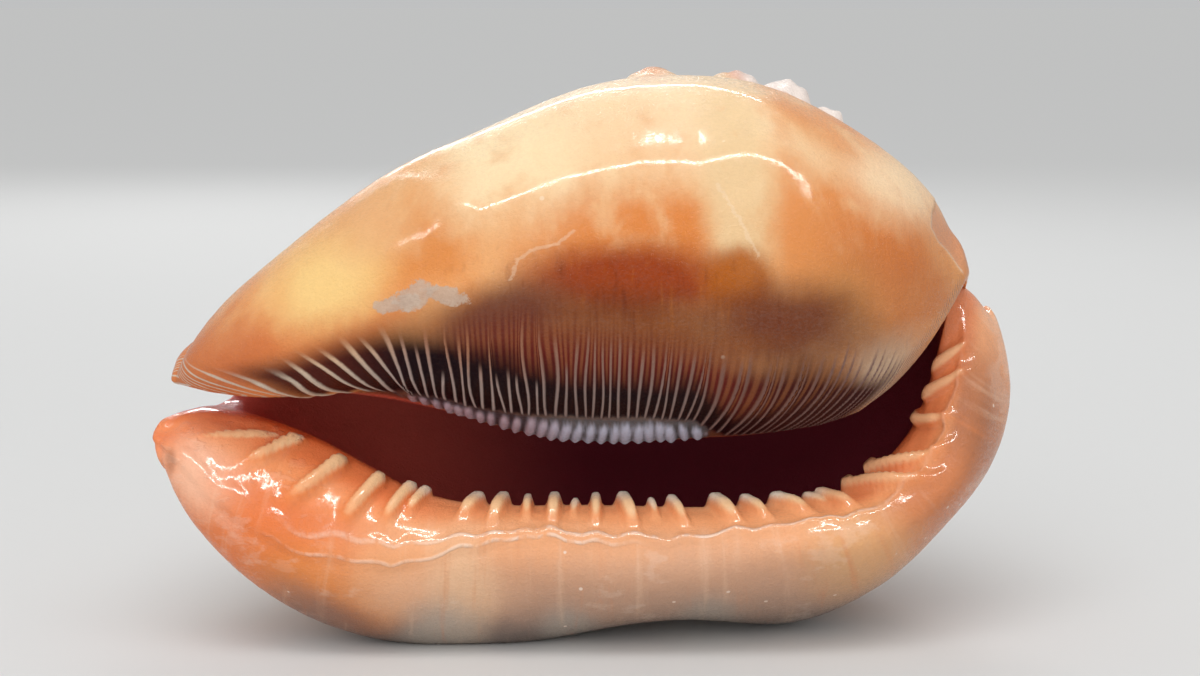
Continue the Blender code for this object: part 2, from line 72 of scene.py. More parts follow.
NODE = "helmet_shell"
DRAWN_EXTENT = 160.416
"""Extent in X, in millimetres, of the shell as its rails draw it."""
MM = float(CAD_BOX[1][0] - CAD_BOX[0][0]) / DRAWN_EXTENT
"""Metres for each drawn millimetre, so that the shell takes its size from the solid."""
STAND_CENTRE = np.array([1.25, 3.17, 0.0])
"""Middle of the drawn shell in X and Y, which the solid has at the origin."""
NOTCH = 0.93
"""Station at which the mouth ends. The station runs from 0 at the canal to 1 at the apex."""
CAP_BLEND = 0.05
"""How far before the notch the sections of the wall begin to turn into sections of the closed end."""
APEX = (75.5, 10.5, 56.0)
NOTCH_POINT = (70.0, -7.0, 64.5)

RAIL_STATIONS = (0, 0.055, 0.12, 0.21, 0.33, 0.45, 0.57, 0.68, 0.76, 0.83, 0.885, NOTCH, 0.965, 1)
"""Stations of a rail's points, from the canal to the apex."""

# Rails round the outside, from the inner edge of the lip to the edge of the columella, as their points before
# the apex
OUTER_RAILS = {
    "lip_edge": [
        (-76.3, -20.5, 41.6), (-70, -17.5, 42.6), (-57, -19, 40.2), (-42, -23, 34.3), (-20, -26, 27),
        (0, -26, 26.7), (20, -26, 26.3), (38, -24.6, 26.8), (50, -21.5, 28.8), (58.5, -18.5, 35.5),
        (64.5, -14, 46), NOTCH_POINT, (73, 1.5, 61.3),
    ],
    "lip_crest": [
        (-77.4, -24.5, 38.5), (-72, -29, 36.5), (-61, -33.5, 28.2), (-43, -36, 21.4), (-20, -36, 23),
        (0, -36, 22.2), (20, -36, 21.2), (39, -36, 23.2), (51, -34, 24.2), (62, -29.5, 28.5), (70.5, -22, 41),
        (74.2, -6.5, 60.3), (75, 2.5, 60.8),
    ],
    "lip_face": [
        (-77, -26.5, 35), (-73, -30.5, 28.5), (-63.5, -33.2, 20), (-45, -34.5, 10.8), (-20.5, -34.5, 10.5),
        (0, -34.8, 11.2), (20.5, -34.5, 12.2), (41, -32.5, 13.8), (54.6, -29.5, 15.6), (66.2, -24, 24),
        (76.6, -16, 37.5), (78.3, -4.5, 56), (76.8, 3.5, 58.5),
    ],
    "lip_sole": [
        (-75.6, -23.5, 32), (-71.5, -25, 24.3), (-63.2, -24.5, 14), (-46.5, -22, 3), (-20.5, -19.5, -1.5),
        (0, -18, 1.1), (21, -14.5, 2.8), (41.5, -9.5, 1.4), (56.2, -8.5, 9.5), (69.2, -6.5, 21),
        (79.6, -3.5, 37), (79.3, 2.5, 57), (76.6, 5.8, 57.8),
    ],
    "heel": [
        (-74, -12, 32.5), (-67.5, -10, 24.5), (-58.5, -8, 17.5), (-42.5, -6, 10), (-20, -4, 8), (0, -2, 8.2),
        (20, 0.5, 8.4), (40, 4, 9.5), (52.5, 5, 15), (64.5, 5.5, 26.5), (71.8, 6, 39.5), (74.6, 7.5, 50.5),
        (75.2, 8.8, 54.3),
    ],
    "under_back": [
        (-70.5, -2, 34), (-65.5, 5, 25.5), (-57, 11, 17), (-40, 15, 8), (-20, 18, 3.6), (0, 19.5, 2.8),
        (20, 21, 2.8), (37, 22, 5), (49.5, 22, 10.5), (60, 20.5, 21.5), (66.8, 16.5, 34.5), (71.2, 13.5, 48),
        (73.5, 12.4, 52.8),
    ],
    "haunch": [
        (-66.5, 7, 39.5), (-62.5, 14, 33.5), (-55, 21, 27.5), (-40, 28.5, 21.5), (-20, 34.5, 17.5),
        (0, 38, 16.5), (20, 39.5, 17), (35, 38, 20), (46.5, 35, 26), (56.5, 30.5, 34), (63.5, 25, 42),
        (69.6, 17.8, 52), (73.1, 14.3, 54.6),
    ],
    "back": [
        (-64, 11.5, 46.5), (-60.5, 18, 45.5), (-54, 25.5, 44.5), (-40, 33, 44.5), (-20, 40, 45), (0, 44.5, 46),
        (20, 46, 47.5), (34.5, 44, 49.5), (45.5, 40, 51.5), (55, 34.5, 53), (62.3, 28, 54.5), (69, 19.4, 56.5),
        (73, 14.8, 57),
    ],
    "upper_back": [
        (-66, 7.5, 53), (-62, 12.5, 57.5), (-55, 18.5, 63), (-40, 24.5, 70.5), (-20, 30, 79), (0, 33.5, 84.5),
        (20, 34.5, 86), (35, 32, 84.5), (46.5, 28, 81), (56, 24, 75.5), (62.5, 19.5, 69), (68.6, 13.8, 63.8),
        (72.8, 12, 60.3),
    ],
    "crown": [
        (-70.5, -6, 55.5), (-67, -8, 62), (-57, -9.5, 71.3), (-40, -7, 84.2), (-20, -4.5, 93.8), (0, -3, 102),
        (20, -3, 104.2), (36, -4, 101.6), (48, -5, 95.8), (60, -6, 87.2), (66.6, -6.5, 78.8), (67, 0.3, 71.3),
        (72.3, 5.5, 61.8),
    ],
    "brow": [
        (-73, -17, 54.2), (-69.5, -22, 58.5), (-57.5, -26.5, 66.5), (-40, -28.5, 77), (-20, -29.5, 85.5),
        (0, -30.5, 90.5), (20, -31, 92), (37, -30, 90.3), (49.5, -26, 86.3), (61, -20.5, 80.8),
        (68.5, -13.5, 75.5), (70.8, -9, 72), (72.8, 2.2, 61.8),
    ],
    "cheek": [
        (-74.4, -23.5, 51), (-70.5, -28.5, 53), (-57.5, -34, 56), (-40, -38, 60.5), (-20, -41, 63),
        (0, -42.5, 64), (20, -42.5, 65), (38, -40.5, 66.5), (51, -35.5, 68.5), (61.5, -27.5, 69.5),
        (69, -18.5, 69.5), (71.9, -12.2, 69), (73, 0.8, 61.6),
    ],
    "fold_top": [
        (-74.6, -24.6, 49.6), (-69, -28.5, 49), (-57.3, -32.5, 49.6), (-41, -35.5, 51.5), (-20, -37.5, 50.5),
        (0, -37.5, 48.5), (20, -37.5, 48.5), (38.5, -36.5, 50.5), (51.5, -33, 53.5), (61.5, -26.5, 58.5),
        (68.3, -18.5, 63.6), (71.4, -11.6, 66.6), (73, 1, 61.4),
    ],
    "columella": [
        (-73.9, -24, 48.7), (-66.5, -26, 47.6), (-57, -27, 46.9), (-43, -27.3, 48), (-21, -25.3, 43.4),
        (0, -25, 38.8), (19.5, -25, 39.3), (36, -25, 40.5), (48.6, -25, 43.6), (58.5, -23, 50.5),
        (66, -18.3, 60), NOTCH_POINT, (73, 1.5, 61.3),
    ],
}

# Rails round the hollow, from behind the columella, over the top and down to the inside of the lip, as their
# points before the notch
INNER_RAILS = {
    "core_under": [
        (-73.3, -18, 49), (-67, -16, 48.8), (-57, -15, 48.4), (-42, -14, 45.5), (-20, -13, 41), (0, -12.5, 38),
        (20, -12, 38), (36, -12, 40), (47, -12, 44), (57, -11, 51), (65, -9.5, 59),
    ],
    "core_low": [
        (-71.8, -11, 49.6), (-66, -8, 50), (-57, -5, 50), (-42, 0, 48.5), (-20, 4, 46.5), (0, 6, 45.5),
        (20, 6, 46), (36, 5, 48), (46, 4, 51), (56, 1, 56), (64.5, -4, 60.8),
    ],
    "core_back": [
        (-69.8, -4, 50.6), (-65, -1, 52), (-56.5, 1.5, 55), (-41, 6, 59), (-20, 10.5, 61), (0, 12.5, 62.5),
        (20, 12.5, 63.5), (35, 10.5, 64), (45, 8, 64), (55, 3.5, 64), (63.5, -3, 63.5),
    ],
    "core_top": [
        (-68, 0.5, 50.8), (-64, 3, 53.2), (-56, 3, 59.5), (-41, 3, 68), (-20, 5, 75), (0, 5.5, 79.5),
        (20, 5.5, 80.5), (35, 4, 78.5), (45, 2.5, 75.5), (54.5, -1, 70.5), (63.3, -5, 66),
    ],
    "inner_end": [
        (-66.6, 3.5, 50.2), (-63, 6, 53.8), (-56, 3.5, 63), (-41, -3.5, 73), (-20, -10, 81.5), (0, -14, 86.5),
        (20, -14, 87.5), (35, -13, 85), (45, -9, 80.5), (54, -7, 74.5), (63, -7, 68),
    ],
    "roof": [
        (-65.6, 5.8, 48.8), (-62, 9, 52.5), (-56, 8, 64), (-40.5, 3, 76), (-20, 0, 86), (0, -1, 94),
        (20, -1, 96), (35, -1, 92.5), (45.5, -2, 86.5), (55, -3, 78), (63, -6, 69.5),
    ],
    "roof_back": [
        (-65.2, 6.8, 47), (-61.3, 10.8, 49.8), (-55.5, 14, 57.5), (-40.5, 18.5, 65.5), (-20, 23.5, 74),
        (0, 27, 79), (19.5, 28, 80.5), (33.5, 25, 78.5), (44, 20.5, 74), (54, 13, 68), (62.5, 2.5, 65),
    ],
    "rear_wall": [
        (-65.2, 6.8, 45), (-61, 10.8, 46.5), (-55, 16, 48), (-40.5, 24, 49.5), (-20, 31.5, 50), (0, 36, 50.5),
        (19.5, 37.5, 51.5), (33.5, 34.5, 52.5), (44.5, 29, 53.5), (55, 19.5, 55), (63.5, 6, 59.5),
    ],
    "rear_floor": [
        (-66.6, 4.5, 43), (-62, 7.5, 43), (-55.5, 13, 41), (-40.5, 20.5, 33), (-20, 27, 27.5), (0, 30.5, 26),
        (20, 31.5, 26.5), (35.5, 29, 29.5), (47.5, 23.5, 35.5), (57.5, 15, 43), (65, 4, 54),
    ],
    "floor": [
        (-70, -2.5, 41.3), (-65, 0.5, 40.8), (-57, 3.5, 36.5), (-40.5, 6.5, 24.5), (-20, 10, 17),
        (0, 12.5, 14.5), (20, 13.5, 14.5), (38, 13, 17), (50.5, 10, 24), (60, 5.5, 34.5), (66.5, -1, 50),
    ],
    "lip_inside": [
        (-73.4, -11.5, 42), (-67.5, -9, 42), (-57, -8.5, 37), (-41, -9, 26.5), (-20, -10, 18.5),
        (0, -9.5, 16.3), (20, -8.5, 16.3), (38.5, -7.5, 18.5), (51.5, -7, 24.5), (61.5, -7.5, 35),
        (67, -8, 50),
    ],
}

# Points of rails at stations between the common ones: (station, x, y, z)
EXTRA_POINTS = {
    "lip_edge": [(0.27, -31, -25.3, 29.2)],
    "lip_sole": [(0.91, 81.3, -1.5, 47)],
    "columella": [(0.27, -33, -26.5, 47.2), (0.39, -10, -25, 40.2)],
}

# Teeth of the lip, from the canal to the spire: (place, slant, start, end, half width, height factor).
# Place is measured along the lip edge, and start and end outward from it. Slant is how far the tooth shifts
# towards the canal for each millimetre outward.
TEETH = [
    (26.6, 2.0, 3.5, 8.5, 1.2, 0.35),
    (27.2, 0.78, 2.5, 12.0, 1.25, 0.85),
    (36.4, 0.62, 3.2, 16.0, 1.3, 1.0),
    (43.7, 0.5, 2.5, 15.0, 1.25, 0.95),
    (49.0, 0.44, 0.8, 11.0, 1.15, 0.9),
    (51.6, 0.4, 0.0, 7.0, 1.0, 0.8),
    (61.2, 0.35, -2.0, 6.5, 1.5, 1.0),
    (65.9, 0.2, -2.5, 8.5, 1.4, 1.15),
    (70.5, 0.03, -2.5, 6.0, 0.95, 1.0),
    (75.4, 0.05, -2.5, 8.0, 1.3, 1.15),
    (79.2, 0.1, -1.5, 4.0, 0.8, 0.55),
    (82.9, 0.0, -2.5, 6.8, 1.05, 1.1),
    (87.9, -0.25, -2.5, 7.5, 1.45, 1.2),
    (93.0, -0.2, -2.0, 3.5, 0.8, 0.75),
    (96.8, -0.35, -2.5, 6.0, 1.1, 1.05),
    (105.0, -0.45, -2.5, 6.5, 1.5, 1.2),
    (110.5, -0.5, -2.5, 6.0, 1.2, 1.0),
    (116.4, -0.8, -2.5, 6.0, 1.3, 1.05),
    (122.4, -0.7, -2.5, 4.0, 1.1, 0.8),
    (124.9, -0.7, -2.0, 8.0, 1.3, 1.0),
    (131.0, -1.2, -2.5, 12.0, 1.2, 1.15),
    (136.6, -1.35, -2.5, 10.0, 1.15, 1.1),
    (149.8, -0.7, -1.0, 7.5, 1.0, 0.85),
    (155.0, -1.25, 0.0, 7.5, 0.9, 0.7),
    (160.4, -1.5, 0.5, 6.0, 0.9, 0.6),
]

PLATEAU_POWER = 5
"""How flat the tops and how steep the sides of the teeth are."""
BULB_HEIGHT = 0.25
"""How much higher a tooth is at its inner end."""

CREST_LINE = [(0, 0.96), (66, 0.96), (92, 0.82), (112, 0.8), (125, 0.68), (140, 0.62)]
"""The rail that the crest of the lip lies on, at places along the lip edge."""
CREST_WAVES = [(0.2, 2.7, 0), (0.13, 1.31, 1), (0.3, 6.1, 2)]
"""The waves that the crest wanders by: (height, length, turn)."""

# Rows of knobs round the back, each from behind the crown down to the under_back rail: (station at the crown,
# station at the bottom, first place, number, radius, height factor, factor of the first knob)
KNOB_ROWS = [
    (0.755, 0.800, 10, 6, 6.0, 0.85, 1.2),
    (0.700, 0.690, 10, 8, 9.0, 1.02, 1.4),
    (0.634, 0.590, 14, 8, 8.5, 0.95, 1.15),
    (0.525, 0.480, 11.5, 8, 9.5, 0.9, 1.0),
    (0.410, 0.380, 18, 7, 7.5, 0.7, 0.7),
    (0.310, 0.285, 14, 7, 7.0, 0.45, 1.0),
]
CORD_WIDTH = 2.6
"""Half width of the low cord that joins the knobs of a row."""

# The long folds at the canal end of the columella, each a line of (place along its edge, distance up from it)
# with its half width.
FAN_FOLDS = [
    (((25.0, 0.8), (21.1, 4.6), (16.4, 7.7), (12.0, 9.0)), 0.8),
    (((28.5, 1.2), (25.6, 3.1), (22.5, 8.3), (19.0, 10.9)), 0.75),
    (((32.0, 2.8), (27.8, 6.0), (23.6, 10.5), (20.2, 13.1)), 1.15),
    (((36.0, 4.0), (32.8, 6.8), (27.3, 11.4), (21.9, 14.8)), 0.75),
    (((38.5, 5.2), (34.4, 8.2), (29.6, 12.5), (25.1, 15.7)), 1.0),
    (((40.5, 4.2), (35.9, 10.5), (31.9, 14.6), (28.5, 18.4)), 1.05),
    (((43.0, 6.0), (37.6, 12.6), (34.5, 15.9), (31.2, 18.8)), 0.75),
    (((42.6, 6.4), (40.7, 9.3), (39.1, 13.5), (37.0, 18.6), (35.1, 21.6)), 0.95),
    (((44.6, 6.6), (43.6, 8.5), (41.3, 12.7), (40.0, 17.0), (38.7, 21.3)), 0.7),
    (((46.2, 6.0), (45.5, 7.9), (43.0, 15.4), (41.6, 20.3)), 0.65),
]

# The other folds follow a rule read from these lines of (place along the columella's edge, value)
FOLD_PITCH = [(47, 1.95), (60, 1.75), (75, 1.55), (90, 1.45), (105, 1.45), (125, 1.6)]
FOLD_SLANT = [(47, 0.25), (55, 0.1), (75, 0.0), (90, -0.1), (100, -0.2), (110, -0.3), (118, -0.55),
              (126, -0.75)]
FOLD_START = [(16, 3.0), (25, 2.5), (33, 5.0), (40, 7.0), (55, 8.0), (70, 11.0), (86, 11.4), (95, 9.5),
              (99, 4.0), (102, 0.6), (128, 0.5)]
FOLD_END = [(12, 8), (20, 13), (28, 18), (36, 22), (46, 25), (56, 29.5), (65, 33), (80, 32), (100, 28),
            (112, 24), (120, 16), (127, 9)]
FOLD_FIRST, FOLD_LAST = 47.6, 127.0
LEAST_GAP = 0.35
"""Least distance between the middle lines of two folds."""
BEAD_FIRST, BEAD_LAST = 39.0, 99.0
BEAD_PITCH = 2.2
RIB_PITCH = 2.9
CREST_GAP = 2.4
"""Distance between the two edges of the lip's crest at the canal end."""
CREST_NARROWS = (48, 66)
CREST_JOINS = (76, 96)
"""Places along the lip edge between which the crest narrows, and between which its edges join."""

COLUMN_STOPS = [(0, 0), (0.03, 8), (0.15, 42), (0.78, 318), (0.91, 396), (0.93, 410), (1.0, 448)]
"""Number of columns of the grid up to a station: they are closest where the folds and the teeth are."""
OUTER_ROWS = [16, 12, 10, 7, 8, 9, 12, 16, 18, 14, 17, 16, 26]
INNER_ROWS = [3, 2, 2, 2, 2, 2, 2, 2, 3, 3, 4, 8]
"""Number of rows of the grid from each rail to the next, outside and inside."""
RIM_ANGLES = (10, 20, 30, 40, 50, 60, 70, 80)
"""Angles, in degrees, at which columns round the canal's rim over."""
RIM_DEPTH = 2.4
RIM_DIRECTION = np.array([-1.0, 0.0, 0.0])
MERGE_DISTANCE = 2e-5
LEAST_EDGE = 1e-6
ROUGHNESS = (1.0, 2.0, 3)
"""How fast the swells of the ragged edges shrink, the ratio of their sizes and their number."""
EDGE_SAMPLES = 400
"""Number of points from which the length of the lip edge and of the columella's edge is measured."""
KNOB_STEPS = 8
"""Number of sections of the wall from one knob of a row to the next."""
SECTION_ROWS = 20
"""Number of points between two rails of these sections."""
SEED = 11

# Where features are found, each as the start, full, end and stop of between
BROW_STATIONS = (0.16, 0.27, 0.64, 0.76)
RIB_PLACES = (104, 116, 134, 146)
RIB_RAILS = (1.05, 1.3, 1.9, 2.3)
BACK_RAILS = (4.3, 5.2, 8.6, 9.0)
WHORL_RAILS = (3.6, 4.3, 8.9, 9.4)
SWELL_RAILS = (8.8, 9.3, 10.4, 11.2)
FACET_RAILS = (8.8, 9.9, 10.8, 11.8)
FACET_EDGE_RAILS = (9.7, 10.1, 11.0, 11.4)

# Blunt ridges that run along the top of the shield, each a line of (station, rail)
BROWS = [
    [(0.24, 9.39), (0.36, 9.41), (0.49, 9.44), (0.58, 9.42), (0.65, 9.54), (0.7, 9.62)],
    [(0.24, 9.55), (0.296, 9.96), (0.341, 10.24), (0.384, 10.2), (0.43, 10.15), (0.51, 10.08), (0.574, 10.11),
     (0.625, 9.99), (0.66, 10.01), (0.7, 10.05)],
]
BROW_WIDTH = 0.15

WHORL_GROWTH = 2.2
"""How many times wider the spire's seam gets in one turn."""
SEAM_RADIUS = 19.5
SEAM_ANGLE = 154
"""Where the seam leaves the notch, in degrees round the apex from the back."""
WHORL_KNOBS = 13
"""Number of knobs in one turn of the spire."""
WHORL_KNOB_PHASE = 0.72
"""How far from the inner seam to the outer one the knobs stand."""
FACET_EDGE = [(62, 80), (66, 71.5), (68.5, 69.8), (70.6, 68.4), (73.1, 66.6), (74.9, 64.6), (77.3, 63.4),
              (79.8, 64.1), (82, 66), (85, 72)]
"""The x of the shield's spire end at heights z."""
CORD_COUNT = 46
"""Number of fine cords between the canal and the apex."""
GLAZE_EDGE = [(0, 8.72), (0.5, 8.72), (0.6, 8.76), (0.68, 8.9), (0.76, 8.95), (0.86, 8.8), (1, 8.72)]
"""The rail that the edge of the shield's glaze lies on, at stations."""


# Curves and the wall


def natural_spline(knots, points, query):
    """Read, at the query values, the natural cubic spline through points at the knots."""
    span = np.diff(knots)
    system = np.eye(len(knots))
    bends = np.zeros_like(points)
    for i in range(1, len(knots) - 1):
        system[i, i - 1 : i + 2] = span[i - 1], 2 * (span[i - 1] + span[i]), span[i]
        bends[i] = 6 * ((points[i + 1] - points[i]) / span[i] - (points[i] - points[i - 1]) / span[i - 1])
    bends = np.linalg.solve(system, bends)
    at = np.clip(np.searchsorted(knots, query, side="right") - 1, 0, len(span) - 1)
    return spline_point(points, bends, span, at, (query - knots[at]) / span[at])


def closed_spline(points, at, share):
    """Read the closed cubic spline through points, at a share of the way along each named stretch."""
    count = len(points)
    span = np.linalg.norm(np.roll(points, -1, 0) - points, axis=1) ** 0.5 + 0.02
    system = np.zeros((count, count))
    bends = np.zeros_like(points)
    for i in range(count):
        before, after = i - 1, (i + 1) % count
        system[i, before] += span[before]
        system[i, i] += 2 * (span[before] + span[i])
        system[i, after] += span[i]
        bends[i] = 6 * ((points[after] - points[i]) / span[i] - (points[i] - points[before]) / span[before])
    bends = np.linalg.solve(system, bends)
    points = np.vstack([points, points[:1]])
    bends = np.vstack([bends, bends[:1]])
    return spline_point(points, bends, span, at, share)


def spline_point(points, bends, span, at, share):
    """Return the points at a share of the way along stretches of a cubic spline with known bends."""
    width = span[at][:, None]
    ahead = share[:, None] * width
    behind = width - ahead
    cubic = (bends[at] * behind**3 + bends[at + 1] * ahead**3) / (6 * width)
    start = (points[at] / width - bends[at] * width / 6) * behind
    end = (points[at + 1] / width - bends[at + 1] * width / 6) * ahead
    return cubic + start + end


def rail_rows(name):
    """Return a rail as rows of (station, x, y, z)."""
    points = [*OUTER_RAILS[name], APEX] if name in OUTER_RAILS else [*INNER_RAILS[name], NOTCH_POINT]
    rows = [(station, *point) for station, point in zip(RAIL_STATIONS, points)]
    return np.array(sorted(rows + EXTRA_POINTS.get(name, [])), float)


def read_rail(name, stations):
    """Return a rail's points at the stations."""
    rows = rail_rows(name)
    return natural_spline(rows[:, 0], rows[:, 1:], stations)


def read_line(line, places):
    """Return the value at the places of a line of (place, value)."""
    table = np.array(line, float)
    return np.interp(places, table[:, 0], table[:, 1])


def spread(counts):
    """Return the stretch and the share of each row, with counts rows in each stretch and one at the end."""
    at = np.repeat(np.arange(len(counts)), counts)
    share = np.concatenate([np.arange(count) / count for count in counts])
    return np.append(at, len(counts) - 1), np.append(share, 1.0)


def smoothstep(low, high, value):
    """Return 0 below low, 1 above high and a smooth rise between them."""
    share = np.clip((value - low) / (high - low), 0, 1)
    return share * share * (3 - 2 * share)


def between(start, full, end, stop, value):
    """Return 1 from full to end, 0 below start and above stop, and a smooth slope on each side."""
    return smoothstep(start, full, value) * (1 - smoothstep(end, stop, value))


def hump(offset):
    """Return a bell of height 1 and half width 1."""
    return np.exp(-(offset**2))


def plateau(offset):
    """Return a ridge of height 1 with a flat top and steep sides, about 1 in half width."""
    return np.exp(-(np.abs(offset) ** PLATEAU_POWER))


def arc_length(line):
    """Return the distance run along a line of points, at each of them."""
    steps = np.linalg.norm(np.diff(line, axis=0), axis=1)
    return np.concatenate([[0], np.cumsum(steps)])


def wall(stations, outer_rows, inner_rows):
    """Return the grids of points on the outside and on the inside of the wall, one column for each station."""
    outer_at, outer_share = spread(outer_rows)
    inner_at, inner_share = spread(inner_rows)
    outer_points = np.stack([read_rail(name, stations) for name in OUTER_RAILS], axis=1)
    inner_points = np.stack([read_rail(name, stations) for name in INNER_RAILS], axis=1)
    outside, inside = [], []
    for station, around, within in zip(stations, outer_points, inner_points):
        blend = smoothstep(NOTCH - CAP_BLEND, NOTCH, station)
        column = np.zeros((len(outer_at), 3))
        if station <= NOTCH:
            section = np.vstack([around, within])
            column += (1 - blend) * closed_spline(section, outer_at, outer_share)
            inside.append(closed_spline(section, inner_at + len(around) - 1, inner_share))
        if blend > 0:
            column += blend * closed_spline(around[:-1], outer_at, outer_share)
        outside.append(column)
    return np.array(outside), np.array(inside)


def rough(points, size):
    """Return smooth noise from about -1 to 1 at points, with swells of a size in millimetres."""
    flat = (points / size).reshape(-1, 3)
    values = [noise.fractal(Vector(point), *ROUGHNESS) for point in flat]
    return np.array(values).reshape(points.shape[:-1])


class Sheet:
    """One side of the wall: a grid of points with the coordinates that the features are placed by.

    rail is the rail that a row lies on, counted from 0 at the lip edge to 13 at the columella. place is the
    distance along the lip edge, and outward the distance from it over the lip. run is the distance along the
    columella's edge, and up the distance from it over the shield. On the inside, outward and up are below 0.
    """

    def __init__(self, points, rail, place, outward, run, up, station):
        self.points = points
        self.rail = np.broadcast_to(rail, points.shape[:-1])
        self.place = np.broadcast_to(place[:, None], points.shape[:-1])
        self.run = np.broadcast_to(run[:, None], points.shape[:-1])
        self.station = np.broadcast_to(station[:, None], points.shape[:-1])
        self.outward = outward
        self.up = up
        self.marks = {}


def wall_sheets():
    """Return the outside and the inside of the smooth wall as sheets."""
    stops = np.array(COLUMN_STOPS, float)
    stations = np.interp(np.arange(stops[-1, 1] + 1), stops[:, 1], stops[:, 0])
    stations[np.argmin(abs(stations - NOTCH))] = NOTCH
    outside, inside = wall(stations, OUTER_ROWS, INNER_ROWS)
    fine = np.linspace(0, NOTCH, EDGE_SAMPLES)
    place = np.interp(stations, fine, arc_length(read_rail("lip_edge", fine)))
    run = np.interp(stations, fine, arc_length(read_rail("columella", fine)))
    outer_at, outer_share = spread(OUTER_ROWS)
    inner_at, inner_share = spread(INNER_ROWS)
    outward = np.array([arc_length(column) for column in outside])
    back_from_lip = -np.array([arc_length(column[::-1])[::-1] for column in inside])
    in_from_columella = -np.array([arc_length(column) for column in inside])
    mouth = len(inside)
    first = len(OUTER_ROWS)
    return (
        Sheet(outside, outer_at + outer_share, place, outward, run, outward[:, -1:] - outward, stations),
        Sheet(inside, first + inner_at + inner_share, place[:mouth], back_from_lip, run[:mouth],
              in_from_columella, stations[:mouth]),
    )


# The features, each a mark at the points of a sheet, which is 0 where the feature is not


def tooth_mark(sheet):
    """Return the teeth of the lip, rounded ridges with a bulb at their inner ends, and their middle lines."""
    mark, line = np.zeros_like(sheet.outward), np.zeros_like(sheet.outward)
    for centre, slant, start, end, half_width, height in TEETH:
        across = half_width * math.hypot(1, slant)
        offset = (sheet.place - (centre - slant * np.maximum(sheet.outward, 0))) / across
        fade = start + 0.6 * (end - start)
        shown = between(start - 2.0, start + 0.6, fade, end + 2.5, sheet.outward)
        bulb = 1 + BULB_HEIGHT * hump((sheet.outward - start - 1.2) / 1.8)
        mark = np.maximum(mark, height * shown * bulb * plateau(offset))
        line = np.maximum(line, shown * bulb * hump(offset))
    return mark, line


def crest_mark(sheet):
    """Return the crest where the lip turns down, pushed out by each tooth, and the distance from its edge."""
    wave = np.zeros_like(sheet.outward)
    for centre, slant, _, end, half_width, height in TEETH:
        offset = (sheet.place - (centre - slant * end)) / (half_width + 1.2)
        wave = np.maximum(wave, height * hump(offset))
    wander = sum(height * np.sin(sheet.place / length + turn) for height, length, turn in CREST_WAVES)
    offset = (sheet.rail - read_line(CREST_LINE, sheet.place)) * 9 + 0.45 * (wave - 0.5) + wander
    narrowed, joined = (smoothstep(*stretch, sheet.place) for stretch in (CREST_NARROWS, CREST_JOINS))
    gap = CREST_GAP - 1.2 * narrowed - 0.8 * joined
    return between(-1.0, 0.1, gap - 0.1, gap + 1.0, offset) * (0.6 + 0.6 * wave), np.clip(offset, -8, 8)


def hollow_mark(sheet):
    """Return the shelf between the teeth and the crest, which is hollowed between the teeth."""
    outward = np.maximum(sheet.outward, 0)
    shelf = smoothstep(0.5, 2.5, outward) * (1 - smoothstep(0.45, 0.85, sheet.rail))
    return np.where(sheet.rail < 1.2, shelf, 0.0)


def fold_lines():
    """Return each fold as its points of (run, up), its half width and its strength, in order from the canal."""
    chance = random.Random(SEED)
    lines = [(np.array(points), 0.8 * half_width, 1.0) for points, half_width in FAN_FOLDS]
    run = FOLD_FIRST
    while run < FOLD_LAST:
        start, end = read_line(FOLD_START, run), read_line(FOLD_END, run)
        slant = read_line(FOLD_SLANT, run) + chance.uniform(-0.05, 0.05)
        early = 1 - smoothstep(62, 84, run)
        reach = chance.uniform(0.86, 1.0)
        if chance.random() < 0.22 * early:
            reach = chance.uniform(0.4, 0.65)
        end = start + (end - start) * reach
        wander = chance.uniform(-0.4, 0.4) * (0.35 + 0.9 * early)
        phase = chance.uniform(0, 6.3)
        up = np.linspace(start, end, 9)
        bow = slant * (up - start) * (1 + 0.5 * (end - up) / max(end - start, 1))
        points = np.stack([run - bow + wander * np.sin(phase + up / 3.2), up], axis=1)
        lines.append((points, chance.uniform(0.36, 0.46) + 0.12 * early, chance.uniform(0.75, 1.0)))
        run += read_line(FOLD_PITCH, run) * chance.uniform(0.82, 1.18)
    return lines


def fold_marks(sheet):
    """Return the folds of the columella, how strong each is, its number at each point and how many there are.

    The number is whole on the middle line of each fold and runs evenly between one fold and the next.
    """
    run, height = sheet.run, sheet.up
    places, reaches, widths = [], [], []
    for points, half_width, strength in fold_lines():
        points = points[np.argsort(points[:, 1])]
        along, up = points[:, 0], points[:, 1]
        lean = np.gradient(along, up)
        low, high = np.minimum(height - up[0], 0), np.maximum(height - up[-1], 0)
        places.append(np.interp(height, up, along) + lean[0] * low + lean[-1] * high)
        widths.append(half_width * np.hypot(1, np.interp(height, up, lean)))
        fade = up[-1] - 0.4 * (up[-1] - up[0])
        reaches.append(strength * between(up[0] - 1.5, up[0] + 0.5, fade, up[-1] + 1.0, height))
    order = np.arange(len(places)).reshape(-1, 1, 1) * LEAST_GAP
    places = np.maximum.accumulate(np.array(places) - order, axis=0) + order
    before = np.clip((places <= run).sum(axis=0) - 1, 0, len(places) - 2)[None]
    here, ahead = np.take_along_axis(places, before, 0)[0], np.take_along_axis(places, before + 1, 0)[0]
    number = before[0] + (run - here) / (ahead - here)
    nearest = np.clip(np.round(number), 0, len(places) - 1).astype(int)[None]
    found = [np.take_along_axis(np.array(each), nearest, 0)[0] for each in (places, widths, reaches)]
    place, width, reach = found
    reach = reach * smoothstep(0.4, 0.9, ahead - here)
    return hump((run - place) / width) * reach, reach, number, len(places)


